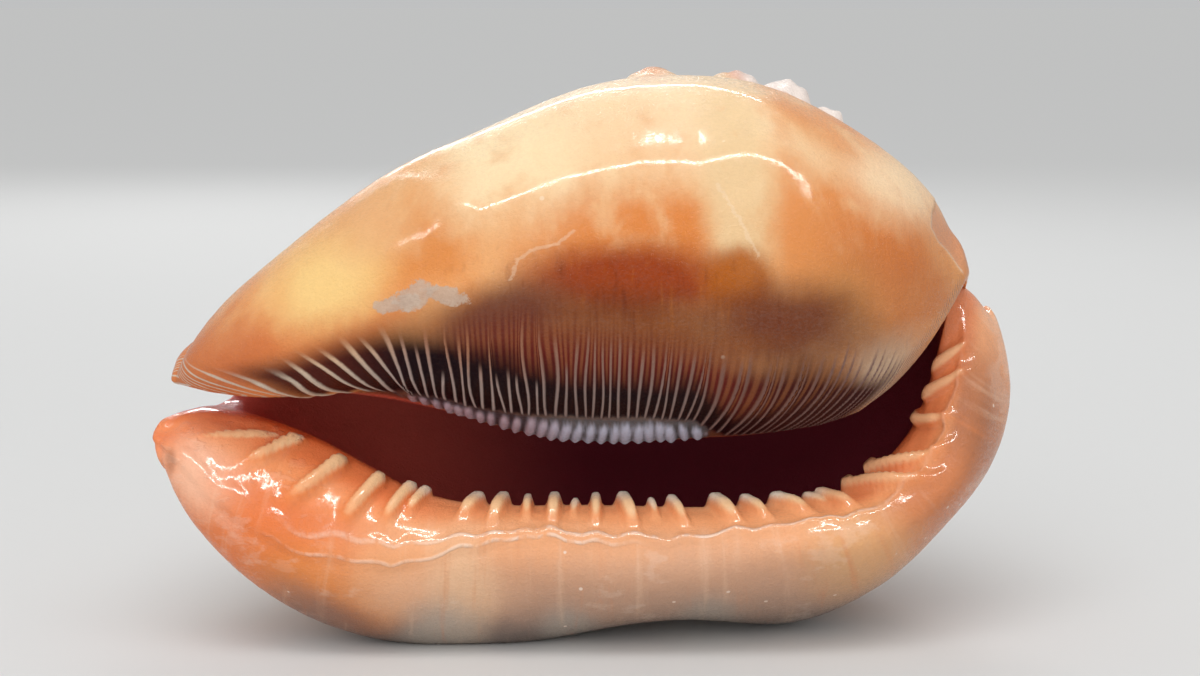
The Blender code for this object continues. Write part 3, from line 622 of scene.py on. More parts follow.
def fold_zone_mark(sheet, number, count):
    """Return the stained zone that the folds stand in, which fades upward into the shield."""
    start, end = read_line(FOLD_START, sheet.run), read_line(FOLD_END, sheet.run)
    fade = start + 0.65 * (end - start)
    ends = between(-0.9, 0.9, count - 4, count - 0.5, number)
    return between(start - 2.5, start, fade, end + 2, sheet.up) * ends


def bead_marks(sheet):
    """Return the beads along the edge of the columella, below the folds, and the band that they stand in."""
    chance = random.Random(SEED + 1)
    mark = np.zeros_like(sheet.up)
    run = BEAD_FIRST
    while run < BEAD_LAST:
        top = read_line(FOLD_START, run) * chance.uniform(0.88, 1.1)
        half_width = 0.44 * BEAD_PITCH * chance.uniform(0.8, 1.1)
        height = chance.uniform(0.7, 1.0)
        lean = 0.12 * np.sin(run / 9)
        offset = (sheet.run - run - lean * sheet.up) / half_width
        mark = np.maximum(mark, height * between(-3.2, -0.6, 0.5 * top, top + 0.8, sheet.up) * hump(offset))
        run += BEAD_PITCH * chance.uniform(0.85, 1.15)
    ends = between(BEAD_FIRST - 1, BEAD_FIRST + 6, BEAD_LAST - 2, BEAD_LAST, sheet.run)
    top = read_line(FOLD_START, sheet.run)
    return mark * ends, between(-2.5, -1.0, 0.85 * top, top + 0.6, sheet.up) * ends


def brow_mark(sheet):
    """Return the blunt ridges along the top of the shield."""
    mark = np.zeros_like(sheet.up)
    for line in BROWS:
        offset = (sheet.rail - read_line(line, sheet.station)) / BROW_WIDTH
        mark = np.maximum(mark, hump(offset))
    return mark * between(*BROW_STATIONS, sheet.station)


def rib_mark(sheet):
    """Return the faint ribs down the face of the lip, near its spire end."""
    wave = 0.5 + 0.5 * np.cos(2 * math.pi * (sheet.place + 0.25 * sheet.outward) / RIB_PITCH)
    return wave * between(*RIB_PLACES, sheet.place) * between(*RIB_RAILS, sheet.rail)


def knob_rows():
    """Return for each row its middle line and its knobs, each as a centre, a radius and a height factor."""
    names = list(OUTER_RAILS)
    rows = [SECTION_ROWS] * (len(names) - 1)
    first, last = SECTION_ROWS * names.index("under_back"), SECTION_ROWS * names.index("crown")
    chance = random.Random(SEED + 2)
    for crown_station, bottom_station, first_place, number, radius, height, first_factor in KNOB_ROWS:
        stations = np.linspace(crown_station, bottom_station, KNOB_STEPS * (number - 1) + 1)
        sections, _ = wall(stations, rows, INNER_ROWS)
        middle, knobs = [], []
        for step, section in enumerate(sections):
            line = section[first : last + 1][::-1]
            length = arc_length(line)
            place = first_place + (length[-1] - first_place) * step / (len(sections) - 1)
            middle.append([np.interp(place, length, line[:, axis]) for axis in range(3)])
            if step % KNOB_STEPS == 0:
                rise = height * chance.uniform(0.85, 1.1) * (first_factor if step == 0 else 1)
                knobs.append((np.array(middle[-1]), radius * chance.uniform(0.92, 1.08), rise))
        yield np.array(middle), knobs


def knob_mark(sheet):
    """Return the knobs, which stand in rows on low cords, and the part of the wall that they rise from."""
    mark = np.zeros(sheet.points.shape[:-1])
    cord = np.zeros_like(mark)
    for middle, knobs in knob_rows():
        for centre, radius, height in knobs:
            reach = np.clip(np.linalg.norm(sheet.points - centre, axis=-1) / radius, 0, 1)
            mark = np.maximum(mark, height * (1 - reach**2) ** 2)
        nearest = np.min([np.linalg.norm(sheet.points - point, axis=-1) for point in middle], axis=0)
        cord = np.maximum(cord, 0.2 * knobs[1][2] * hump(nearest / CORD_WIDTH))
    return mark + cord * (1 - np.clip(mark, 0, 1)), between(*BACK_RAILS, sheet.rail)


def whorl_mark(sheet):
    """Return the whorls of the spire, which swell from seam to seam and carry knobs, and the seam itself."""
    across = sheet.points[..., 1] - APEX[1]
    height = sheet.points[..., 2] - APEX[2]
    radius = np.maximum(np.hypot(across, height), 0.05)
    first_angle = math.radians(SEAM_ANGLE)
    angle = (np.arctan2(height, across) - first_angle) % (2 * math.pi)
    turns = angle / (2 * math.pi) + np.log(radius / SEAM_RADIUS) / math.log(WHORL_GROWTH)
    phase = turns - np.floor(turns)
    swell = between(0, 0.2, 0.9, 1, phase) * (0.3 + 0.7 * phase)
    knobs = 0.3 * hump((phase - WHORL_KNOB_PHASE) / 0.14) * np.cos(WHORL_KNOBS * angle)
    spire = (turns < 0) * smoothstep(0.3, 1.0, angle + 1.5 * (turns < -1))
    shrink = np.clip(radius / SEAM_RADIUS, 0, 1) ** 0.6
    rise = (swell + knobs * swell) * spire * shrink
    seam = hump(turns * 9) * smoothstep(0.2, 0.8, angle) * shrink
    near = smoothstep(0.875, 0.90, sheet.station) * between(*WHORL_RAILS, sheet.rail)
    return (rise - 0.55 * seam) * near, seam * near


def facet_mark(sheet):
    """Return the bare facet at the spire end of the shield, and the ragged edge where the glaze stops short."""
    edge = read_line(FACET_EDGE, sheet.points[..., 2]) + 0.2 * rough(sheet.points, 3.0)
    beyond = sheet.points[..., 0] - edge
    facet = smoothstep(-0.25, 0.25, beyond) * between(*FACET_RAILS, sheet.rail)
    return facet, hump(beyond / 0.35) * between(*FACET_EDGE_RAILS, sheet.rail)


def glaze_mark(sheet):
    """Return 1 on the glaze of the shield and the lip and 0 on the bare back, with a ragged edge."""
    ragged = 0.12 * rough(sheet.points, 9.0)
    shield = smoothstep(-0.06, 0.06, sheet.rail + ragged - read_line(GLAZE_EDGE, sheet.station))
    lip = 1 - smoothstep(3.5, 3.7, sheet.rail + ragged)
    return np.maximum(shield, lip)


def mark_features(sheet):
    """Fill in the marks of a sheet. Those that are lengths are in metres."""
    outer = sheet.rail <= len(OUTER_ROWS)
    tooth, tooth_line = tooth_mark(sheet)
    crest, crest_offset = crest_mark(sheet)
    fold, reach, number, count = fold_marks(sheet)
    bead, band = bead_marks(sheet)
    knob, back = knob_mark(sheet)
    whorl, seam = whorl_mark(sheet)
    facet, facet_edge = facet_mark(sheet)
    mouth_marks = {
        "tooth": tooth,
        "tooth_line": tooth_line,
        "crest": crest,
        "hollow": hollow_mark(sheet),
        "fold": fold * outer,
        "fold_reach": reach * outer,
        "fold_zone": fold_zone_mark(sheet, number, count) * outer,
        "bead": bead,
        "bead_band": band,
    }
    outer_marks = {
        "brow": brow_mark(sheet),
        "rib": rib_mark(sheet),
        "knob": knob,
        "back": back,
        "whorl": whorl,
        "seam": seam,
        "facet": facet,
        "facet_edge": facet_edge,
        "wrinkle": (1 - smoothstep(22, 36, sheet.place)) * (1 - smoothstep(1.0, 1.5, sheet.rail)),
        "swell": between(*SWELL_RAILS, sheet.rail),
    }
    lengths = {
        "crest_offset": crest_offset,
        "above_beads": sheet.up - read_line(FOLD_START, sheet.run),
        "outward": sheet.outward,
        "run": sheet.run,
        "place": sheet.place,
    }
    open_mouth = 1 - smoothstep(NOTCH - 0.03, NOTCH, sheet.station)
    sheet.marks = {
        "station": sheet.station,
        "fold_number": number,
        "glaze": np.where(outer, glaze_mark(sheet), 1.0),
        "throat": np.where(outer, 0.0, 1.0) * smoothstep(0.5, 14, -np.maximum(sheet.outward, sheet.up)),
        "lip": np.where(outer, 1 - smoothstep(3.4, 3.9, sheet.rail), smoothstep(-12, 0, sheet.outward)),
    }
    sheet.marks |= {name: mark * open_mouth for name, mark in mouth_marks.items()}
    sheet.marks |= {name: mark * outer for name, mark in outer_marks.items()}
    sheet.marks |= {name: length * MM for name, length in lengths.items()}


# The mesh


def evenly(line, shares):
    """Return the values of a line at shares of its length. Its first three columns are the points."""
    run = arc_length(line[:, :3])
    return np.stack([np.interp(shares * run[-1], run, column) for column in line.T], axis=1)


def rim(edge, middle):
    """Return columns that round one side of the canal's rim over, from an edge towards the middle line."""
    half = edge - middle
    depth = np.minimum(np.linalg.norm(half[:, :3], axis=1, keepdims=True), RIM_DEPTH)
    columns = []
    for angle in RIM_ANGLES:
        column = middle + math.cos(math.radians(angle)) * half
        column[:, :3] += math.sin(math.radians(angle)) * depth * RIM_DIRECTION
        columns.append(column)
    return columns


def add_rim(outside, inside):
    """Return both grids with the columns of the rounded rim in front of them."""
    shares_out = arc_length(outside[0, :, :3])
    turned = inside[0][::-1]
    shares_in = arc_length(turned[:, :3])
    middle_out = (outside[0] + evenly(turned, shares_out / shares_out[-1])) / 2
    middle_in = ((turned + evenly(outside[0], shares_in / shares_in[-1])) / 2)[::-1]
    rim_out = rim(outside[0], middle_out)
    rim_in = rim(inside[0], middle_in)
    return np.concatenate([rim_out[::-1], outside]), np.concatenate([rim_in[::-1], inside])


def grid_faces(columns, rows, first):
    """Return the quads of a grid of vertices, counted column by column from the first."""
    corner = first + np.arange(columns * rows).reshape(columns, rows)
    quads = np.stack([corner[:-1, :-1], corner[:-1, 1:], corner[1:, 1:], corner[1:, :-1]], axis=-1)
    return quads.reshape(-1, 4).tolist(), corner


def zip_faces(points, first, second):
    """Return the triangles of the strip between two lines of vertices that run side by side."""
    run_first = arc_length(points[first])
    run_second = arc_length(points[second])
    faces = []
    i = j = 0
    while i < len(first) - 1 or j < len(second) - 1:
        ahead_first = run_first[min(i + 1, len(first) - 1)] / run_first[-1]
        ahead_second = run_second[min(j + 1, len(second) - 1)] / run_second[-1]
        if j == len(second) - 1 or (i < len(first) - 1 and ahead_first <= ahead_second):
            faces.append((first[i], second[j], first[i + 1]))
            i += 1
        else:
            faces.append((first[i], second[j], second[j + 1]))
            j += 1
    return faces


def smooth_wall_mesh():
    """Return the mesh of the wall without its relief, with the marks as vertex attributes."""
    outer, inner = wall_sheets()
    for sheet in (outer, inner):
        mark_features(sheet)
    names = list(outer.marks)
    outside = np.dstack([outer.points] + [outer.marks[name] for name in names])
    inside = np.dstack([inner.points] + [inner.marks[name] for name in names])
    inside[:, -1] = outside[: len(inside), 0]
    inside[:, 0] = outside[: len(inside), -1]
    outside, inside = add_rim(outside, inside)
    outer_faces, outer_corner = grid_faces(*outside.shape[:2], 0)
    inner_faces, inner_corner = grid_faces(*inside.shape[:2], outer_corner.size)
    values = np.concatenate([outside.reshape(-1, outside.shape[2]), inside.reshape(-1, inside.shape[2])])
    points = (values[:, :3] - STAND_CENTRE) * MM
    faces = outer_faces + inner_faces + zip_faces(points, outer_corner[0], inner_corner[0][::-1])
    mesh = bpy.data.meshes.new(NODE)
    mesh.from_pydata(points.tolist(), [], faces)
    for name, column in zip(names, values.T[3:]):
        mesh.attributes.new(name, "FLOAT", "POINT").data.foreach_set("value", column.astype("f"))
    close_mesh(mesh)
    return mesh


def close_mesh(mesh):
    """Merge the vertices that the sheets share and turn every face outward."""
    work = bmesh.new()
    work.from_mesh(mesh)
    bmesh.ops.remove_doubles(work, verts=work.verts, dist=MERGE_DISTANCE)
    bmesh.ops.dissolve_degenerate(work, edges=work.edges, dist=LEAST_EDGE)
    bmesh.ops.recalc_face_normals(work, faces=work.faces)
    work.to_mesh(mesh)
    work.free()
    mesh.shade_smooth()


# Node trees


class Field:
    """A number that a node tree works out, with arithmetic that adds its Math nodes."""

    def __init__(self, tree, socket):
        self.tree = tree
        self.socket = socket

    def math(self, operation, *others, clamp=False):
        """Return the result of a Math node on this number and the others."""
        return self.tree.math(operation, self, *others, clamp=clamp)

    def __add__(self, other):
        return self.math("ADD", other)

    def __sub__(self, other):
        return self.math("SUBTRACT", other)

    def __mul__(self, other):
        return self.math("MULTIPLY", other)

    def __truediv__(self, other):
        return self.math("DIVIDE", other)

    def __rsub__(self, other):
        return self.tree.math("SUBTRACT", other, self)

    __radd__ = __add__
    __rmul__ = __mul__


class Tree:
    """A node tree that is written as expressions."""

    def __init__(self, group):
        self.nodes = group.nodes
        self.links = group.links

    def add(self, kind, settings=None, inputs=None):
        """Add a node, apply its settings and fill in its sockets, by name or number, with values or links."""
        node = self.nodes.new(kind)
        for name, value in (settings or {}).items():
            setattr(node, name, value)
        for name, value in (inputs or {}).items():
            if isinstance(value, Field):
                value = value.socket
            if isinstance(value, bpy.types.NodeSocket):
                self.links.new(value, node.inputs[name])
            else:
                node.inputs[name].default_value = value
        return node

    def math(self, operation, *values, clamp=False):
        """Return the result of a Math node."""
        node = self.add("ShaderNodeMath", {"operation": operation, "use_clamp": clamp}, dict(enumerate(values)))
        return Field(self, node.outputs[0])

    def vector(self, operation, *values, **named):
        """Return the vector that a Vector Math node gives."""
        inputs = dict(enumerate(values)) | named
        return self.add("ShaderNodeVectorMath", {"operation": operation}, inputs).outputs[0]

    def smooth(self, value, low, high):
        """Return 0 where the value is below low and 1 where it is above high, with a smooth rise between."""
        settings = {"interpolation_type": "SMOOTHSTEP"}
        node = self.add("ShaderNodeMapRange", settings, {"Value": value, 1: low, 2: high})
        return Field(self, node.outputs[0])

    def fall(self, value, low, high):
        """Return 1 where the value is below low and 0 where it is above high, with a smooth slope between."""
        return 1 - self.smooth(value, low, high)

    def noise(self, vector, scale, detail=2.0, roughness=0.5, distortion=0.0):
        """Return noise around 0, from about -1 to 1."""
        names = ("Vector", "Scale", "Detail", "Roughness", "Distortion")
        inputs = dict(zip(names, (vector, scale, detail, roughness, distortion)))
        return (Field(self, self.add("ShaderNodeTexNoise", {}, inputs).outputs[0]) - 0.5) * 2

    def mix(self, share, first, second):
        """Return the colour that is first where share is 0 and second where it is 1."""
        inputs = {0: share, 6: first, 7: second}
        return self.add("ShaderNodeMix", {"data_type": "RGBA"}, inputs).outputs[2]


# The relief tree

GROWTH_WANDER_SCALE = 60
"""Scale, in cycles a metre, of the noise that the growth lines wander by."""


def socket_name(size):
    """Return the name of the relief tree's input for a size of the shell."""
    return size.replace("_", " ").title()


def relief_tree():
    """Return the Geometry Nodes tree that lifts the smooth wall along its normals by its marks."""
    group = bpy.data.node_groups.new("Shell Relief", "GeometryNodeTree")
    group.interface.new_socket("Geometry", in_out="INPUT", socket_type="NodeSocketGeometry")
    for name in ShellShape.__annotations__:
        group.interface.new_socket(socket_name(name), in_out="INPUT", socket_type="NodeSocketFloat")
    group.interface.new_socket("Material", in_out="INPUT", socket_type="NodeSocketMaterial")
    group.interface.new_socket("Geometry", in_out="OUTPUT", socket_type="NodeSocketGeometry")
    tree = Tree(group)
    entry = tree.add("NodeGroupInput").outputs

    def size(name):
        return Field(tree, entry[socket_name(name)])

    def mark(name):
        node = tree.add("GeometryNodeInputNamedAttribute", {"data_type": "FLOAT"}, {"Name": name})
        return Field(tree, node.outputs[0])

    position = tree.add("GeometryNodeInputPosition").outputs[0]
    glaze, bare = mark("glaze"), 1 - mark("glaze")
    lift = mark("knob") * mark("back") * size("knob_height") - bare * size("glaze_thickness")
    lift -= mark("facet") * size("glaze_thickness") * 0.6
    lift -= mark("hollow") * (1 - mark("tooth")) * size("hollow_depth")
    for name in ("tooth", "crest", "fold", "bead", "brow", "rib", "whorl"):
        lift += mark(name) * size(name + "_height")
    for name, where, *texture in (
        ("wrinkle", mark("wrinkle"), 3.0, 0.6, 0.6),
        ("swell", mark("swell"), 1.0),
        ("crackle", glaze, 2.0),
    ):
        bumps = tree.noise(position, tree.math("DIVIDE", 1, size(name + "_size")), *texture)
        lift += bumps * where * size(name + "_height")
    growth = mark("outward") / size("growth_spacing") * 2 * math.pi
    wander = tree.noise(position, GROWTH_WANDER_SCALE) * 2.5
    lift += (growth + wander).math("SINE") * bare * size("growth_height")
    cords = mark("station") * 2 * math.pi * CORD_COUNT
    lift += cords.math("COSINE") * bare * size("cord_height")
    normal = tree.add("GeometryNodeInputNormal").outputs[0]
    place = tree.add("ShaderNodeSeparateXYZ", {}, {"Vector": position}).outputs
    level = tree.math("MAXIMUM", Field(tree, place[2]), 0)
    grounded = tree.add("ShaderNodeCombineXYZ", {}, {0: place[0], 1: place[1], 2: level}).outputs[0]
    geometry = entry["Geometry"]
    for kind, inputs in (
        ("GeometryNodeSetPosition", {"Offset": tree.vector("SCALE", normal, Scale=lift)}),
        ("GeometryNodeSetPosition", {"Position": grounded}),
        ("GeometryNodeRealizeInstances", {}),
        ("GeometryNodeSetMaterial", {"Material": entry["Material"]}),
    ):
        geometry = tree.add(kind, {}, {"Geometry": geometry} | inputs).outputs[0]
    tree.add("NodeGroupOutput", {}, {"Geometry": geometry})
    return group


def lift_relief(shell, shape, material):
    """Return the plain mesh of the shell with its relief, with the tree's inputs set from the shape."""
    group = relief_tree()
    modifier = shell.modifiers.new("Relief", "NODES")
    modifier.node_group = group
    sockets = {item.name: item.identifier for item in group.interface.items_tree if item.in_out == "INPUT"}
    for name in ShellShape.__annotations__:
        modifier[sockets[socket_name(name)]] = getattr(shape, name)
    modifier[sockets["Material"]] = material
    seen = shell.evaluated_get(bpy.context.evaluated_depsgraph_get())
    return bpy.data.meshes.new_from_object(seen)


# Colours


def colour(code):
    """Return the linear colour, with its alpha, of a hexadecimal colour code."""
    shares = [int(code[i : i + 2], 16) / 255 for i in (0, 2, 4)]
    return *(share / 12.92 if share <= 0.04045 else ((share + 0.055) / 1.055) ** 2.4 for share in shares), 1.0


# Colours of the finer finishes
TINTS = {
    # Shield
    "cream_patch": "f2d0a0",
    "orange_patch": "d8833f",
    "dark_streak": "5e240c",
    "bright_streak": "d88030",
    "scuff": "a8562c",
    "shield_speck": "f4dcc0",
    "facet": "cd906e",
    "chalk_shade": "b49c8a",
    # Folds and beads
    "upper_stain": "642019",
    "spire_stain": "3c1512",
    "fan_stain": "562218",
    "fine_line": "b9784c",
    "fold_top": "a06a4c",
    "middle_fold": "7c6660",
    "spire_fold": "745650",
    "fan_fold": "dccdb4",
    "fan_fold_top": "e0a878",
    "beside_beads": "4a2020",
    "bead_gap": "56565a",
    "pink_bead_gap": "3a1a1e",
    "pink_bead": "b58d92",
    # Lip
    # lip_sole: painted shade, greyer and darker, low on the lip's downward-facing face
    "lip_sole": "84736a",
    "pale_band": "f6cfb0",
    "orange_band": "dc8450",
    "face_flake": "fbe6d4",
    "lip_speck": "f8e4d2",
    "end_flake_glint": "fde2ce",
    "crest_highlight": "fff0e0",
    "canal_side": "ea7038",
    "mouth_edge": "f07038",
    "tooth_root": "ef8848",
    "curl": "d4602f",
    "tooth_foot": "fdc283",
    "curl_tooth": "f6c090",
    # Back
    "back_grain": "8d4a2c",
    "rosy_knob": "d9997c",
    "seam": "6e4027",
    # Mouth and whole shell
    # canal_throat_glow: painted light that shines through the thin wall at the canal end
    "canal_throat_glow": "ec705e",
    "grain": "7a4428",
}


def tint(name):
    """Return the linear colour of a tint, by its name or as a hexadecimal colour code."""
    return colour(TINTS.get(name, name))


# Clouds of colour under the glaze of the shield, seen from the front:
# (x, z, half width, half height, turn in degrees, softness, strength, colour)
SHIELD_CLOUDS = [
    (-2, 100, 52, 14, 0, 0.5, 0.9, "f5d8ae"),
    (10.5, 106.5, 6, 2.5, 0, 0.4, 0.8, "e39a6c"),
    (44, 97, 15, 5, -32, 0.5, 0.6, "e2924f"),
    (-50, 57, 18, 7, 30, 0.6, 0.8, "d2753f"),
    (-68, 52, 12, 7, 35, 0.6, 0.8, "bf6438"),
    (-30, 77, 14, 9, 30, 0.5, 0.9, "e08f4c"),
    (-28, 76.5, 8, 6, 30, 0.6, 0.4, "cc7834"),
    (-12, 87, 14, 10, -15, 0.6, 0.9, "f6dcb0"),
    (-13, 76, 6, 9, -20, 0.7, 0.6, "eab077"),
    (-46, 68.5, 10, 7, 20, 0.7, 0.9, "f2cb84"),
    (-37, 80, 9, 7, 30, 0.7, 0.6, "e5b784"),
    (46, 79, 16, 11, 0, 0.5, 0.8, "da8646"),
    (46.5, 84, 16, 22, 0, 0.12, 0.4, "de8e50"),
    (57, 84.5, 10, 6, -25, 0.7, 0.9, "f6d8b0"),
    (42, 90, 5, 3, -30, 0.8, 0.6, "f3cfa0"),
    (52, 74, 9, 5, -30, 0.7, 0.6, "c6713a"),
    (55, 77, 8, 5, -30, 0.7, 0.4, "c8702f"),
    (11, 90, 12, 7, 0, 0.7, 0.35, "e3a56c"),
    (45, 63, 9, 9, 0, 0.8, 0.7, "a97545"),
    (60, 67, 9, 9, 0, 0.7, 0.6, "bb6a38"),
    (8, 77, 19, 8, 0, 0.6, 0.85, "d67a32"),
    (27, 87, 6.5, 20, 4, 0.5, 0.9, "e6c494"),
    (8, 70, 18, 6, 0, 0.5, 0.95, "90340a"),
    (27, 70, 6.2, 6, 0, 0.4, 0.9, "ad5a10"),
    (3, 62, 30, 6, 0, 0.6, 0.85, "703618"),
    (-14, 64, 10, 5, 20, 0.6, 0.8, "5b2a22"),
    (35, 62, 12, 7, 0, 0.6, 0.85, "642c1c"),
    (46, 56, 9, 5, 20, 0.6, 0.5, "7a4a34"),
    (8, 58, 22, 3.5, 0, 0.7, 0.7, "8a4f28"),
    (54, 51, 8, 6, 40, 0.7, 0.8, "b8a28c"),
]

# The same on the face of the lip. The grey and grey-brown clouds low on the face lay painted shade of the
# downward-facing sole over its pale bands.
LIP_CLOUDS = [
    (24, 12, 44, 9, 0, 0.5, 0.5, "c6a48e"),
    (-62, 30, 22, 26, -40, 0.5, 0.8, "e67439"),
    (-68, 34, 8, 7, 0, 0.6, 0.65, "f8cdb0"),
    (-59, 29, 8, 6, -40, 0.6, 0.6, "e6793f"),
    (-48, 12, 12, 8, -30, 0.6, 0.6, "e58a3f"),
    (-35, 13, 7, 8, 0, 0.6, 0.5, "e8a06c"),
    (-26, 12, 12, 5, 0, 0.7, 0.6, "f4c09a"),
    (-22, 13, 5, 10, 0, 0.7, 0.7, "f0c59e"),
    (66, 36, 15, 26, 20, 0.5, 0.85, "c7764a"),
    (50, 18, 9, 9, 30, 0.7, 0.6, "dba873"),
    (-26, 3, 7, 7, 0, 0.6, 0.8, "b3a699"),
    (-3, 3, 5, 6, 0, 0.6, 0.75, "b0a498"),
    (23, 5, 5.5, 6, 0, 0.6, 0.7, "aca195"),
    (-47, 6, 9, 5, -25, 0.7, 0.7, "8d6250"),
    (-51, 9, 8, 5, -35, 0.7, 0.45, "8f7468"),
    (73, 42, 6, 10, 10, 0.7, 0.65, "a0684a"),
    (-75.2, 35.5, 1.0, 2.0, 0, 0.6, 0.5, "9a5a38"),
]

# Chalky spots on the shield: (x, z, half width, half height, turn in degrees)
CHALK_CLOUDS = [(-33, 65.5, 4.5, 1.5, 10), (-29.5, 66.8, 4, 2.2, 20), (-24, 67.0, 4, 1.5, -10)]
CHALK_SOFTNESS = 0.9

# Thin pale lines where the glaze is cracked or flaked, through points of (x, z)
SHIELD_CRACKS = [
    [(-12.7, 70.0), (-11.5, 73.6), (-8.4, 75.6), (-4.8, 76.0), (-1.9, 78.4)],
    [(23.5, 86.5), (27.7, 79.4), (30.3, 74.3)],
]
CRACK_WIDTH = 0.4

DRIFT = (0.09, 4.0, 0.55)
"""Scale, detail and roughness of the noises that the clouds' edges wander by."""
DRIFT_APART = (91.0, 17.0, 43.0)
"""How far apart the two noises are read, so that they differ."""
CLOUD_WANDER = 0.3
CLOUD_STREAKS = 0.15
"""How far the clouds' edges wander and streak, as shares of their size."""
FLAKE_STRETCH = (0.16, 0.16, 0.4)
FLAKE_LEVEL = 0.1
"""The stretch and the level of the flakes at the canal end of the lip."""


class Paint(Tree):
    """The tree of the shell's material, with the places and the noises that its colours share."""

    def __init__(self, group):
        super().__init__(group)
        place = self.add("ShaderNodeTexCoord").outputs["Object"]
        self.drawn = self.vector("MULTIPLY_ADD", place, (1 / MM,) * 3, tuple(STAND_CENTRE))
        axes = self.add("ShaderNodeSeparateXYZ", {}, {"Vector": self.drawn}).outputs
        self.x, self.z = Field(self, axes[0]), Field(self, axes[2])
        self.drift = self.noise(self.drawn, *DRIFT)
        self.drift_2 = self.noise(self.vector("ADD", self.drawn, DRIFT_APART), *DRIFT)
        self.streaks = self.noise(self.vector("MULTIPLY", self.drawn, (1.0, 1.0, 0.1)), 0.6, 3.0, 0.6)
        self.grain = self.noise(self.drawn, 1.4, 4.0, 0.6)
        self.tears = self.noise(self.drawn, 0.5, 4.0, 0.7)

    def mark(self, name):
        """Return a mark of the mesh."""
        node = self.add("ShaderNodeAttribute", {"attribute_name": name, "attribute_type": "GEOMETRY"})
        return Field(self, node.outputs["Fac"])

    def cloud(self, x, z, half_width, half_height, turn, softness):
        """Return 1 inside a soft, ragged ellipse seen from the front, and 0 outside it."""
        cosine, sine = math.cos(math.radians(turn)), math.sin(math.radians(turn))
        across, up = self.x - x, self.z - z
        along = (across * cosine + up * sine) / half_width + self.drift * CLOUD_WANDER
        over = (up * cosine - across * sine) / half_height + self.drift_2 * CLOUD_WANDER
        over += self.streaks * CLOUD_STREAKS
        reach = (along * along + over * over).math("SQRT")
        return self.fall(reach, 1 - softness, 1 + softness)

    def layers(self, surface, *table):
        """Return the surface under layers of (share, colour), where a colour is a tint, a value or a link."""
        for share, over in table:
            surface = self.mix(share, surface, tint(over) if isinstance(over, str) else over)
        return surface

    def clouds(self, surface, table):
        """Return the surface with a table of clouds laid over it in order."""
        layers = [(self.cloud(*shape) * strength, code) for *shape, strength, code in table]
        return self.layers(surface, *layers)

    def specks(self, scale, size, share):
        """Return 1 on small round specks, where share is how many of the cells of the scale hold one."""
        cells = self.add("ShaderNodeTexVoronoi", {}, {"Vector": self.drawn, "Scale": scale}).outputs
        pick = self.add("ShaderNodeSeparateColor", {}, {"Color": cells["Color"]}).outputs[0]
        speck = self.fall(Field(self, cells["Distance"]), 0.6 * size, size)
        return speck * self.smooth(pick, 1 - share, 1.01 - share)

    def flakes(self, stretch, level):
        """Return 1 on ragged flakes, where a noise stretched in X, Y and Z is above a level."""
        shape = self.noise(self.vector("MULTIPLY", self.drawn, stretch), 1.0, 5.0, 0.6)
        return self.smooth(shape, level, level + 0.12)

    def crest(self):
        """Return the two thin lines of the lip's crest, which become one towards the spire, for their bump and
        their painted highlight.
        """
        offset, place = self.mark("crest_offset") / MM + self.grain * 0.12, self.mark("place") / MM
        narrowed = self.smooth(place, *CREST_NARROWS)
        away = (offset - (CREST_GAP - 1.2 * narrowed)).math("ABSOLUTE")
        second = self.fall(away, 0.08, 0.4) * self.fall(place, *CREST_JOINS)
        both = self.fall(offset.math("ABSOLUTE"), 0.1, 0.45).math("MAXIMUM", second)
        shown = self.smooth(place, 22, 34) * (1 - 0.75 * self.smooth(place, 126, 142))
        broken = self.smooth(self.streaks + self.drift, -0.5, 0.3)
        return both * shown * (0.55 + 0.45 * narrowed) * broken

    def crack(self, points, width):
        """Return 1 along a thin wandering line through points of (x, z)."""
        nearest = None
        x, z = self.x + self.tears * 1.2, self.z + self.drift_2 * 1.5
        for (start_x, start_z), (end_x, end_z) in zip(points, points[1:]):
            across, up = end_x - start_x, end_z - start_z
            square = across**2 + up**2
            share = ((x - start_x) * (across / square)).math("ADD", (z - start_z) * (up / square), clamp=True)
            away_x, away_z = x - start_x - share * across, z - start_z - share * up
            away = (away_x * away_x + away_z * away_z).math("SQRT")
            nearest = away if nearest is None else nearest.math("MINIMUM", away)
        return self.fall(nearest, 0.3 * width, width)


def paint_shield(paint, colours):
    """Return the colour of the shield: clouds of orange, cream and brown, cracks and a chalky patch."""
    surface = paint.mix(paint.smooth(paint.drift, -0.5, 0.5), colours.shield_orange, colours.shield_pale)
    surface = paint.clouds(surface, SHIELD_CLOUDS)
    upper = paint.smooth(paint.z + paint.drift * 6, 72, 80)
    patches = paint.noise(paint.vector("MULTIPLY", paint.drawn, (1.0, 1.0, 0.55)), 0.13, 3.0, 0.55, 0.3)
    middle = paint.cloud(6, 67, 32, 9, 0, 0.5)
    edge = paint.mark("facet_edge")
    for points in SHIELD_CRACKS:
        edge = edge.math("MAXIMUM", paint.crack(points, CRACK_WIDTH) * 0.3)
    surface = paint.layers(
        surface,
        (paint.smooth(patches, 0.0, 0.5) * upper * 0.4, "cream_patch"),
        (paint.smooth(-1 * patches, 0.0, 0.5) * upper * 0.3, "orange_patch"),
        (paint.smooth(paint.streaks, 0.0, 0.6) * middle * 0.5, "dark_streak"),
        (paint.smooth(-1 * paint.streaks, 0.1, 0.7) * middle * 0.25, "bright_streak"),
        (paint.smooth(paint.tears, 0.15, 0.6) * 0.08, "scuff"),
        (paint.specks(0.16, 0.09, 0.2) * 0.5, "shield_speck"),
        (paint.mark("facet") * 0.7, "facet"),
        (edge * 0.8, colours.crack),
    )
    chalk = paint.mix(paint.smooth(paint.tears, -0.4, 0.4), tint("chalk_shade"), colours.chalk)
    for shape in CHALK_CLOUDS:
        reach = paint.cloud(*shape, CHALK_SOFTNESS)
        surface = paint.mix(paint.smooth(reach + paint.tears * 0.7, 0.42, 0.62) * 0.8, surface, chalk)
    return surface


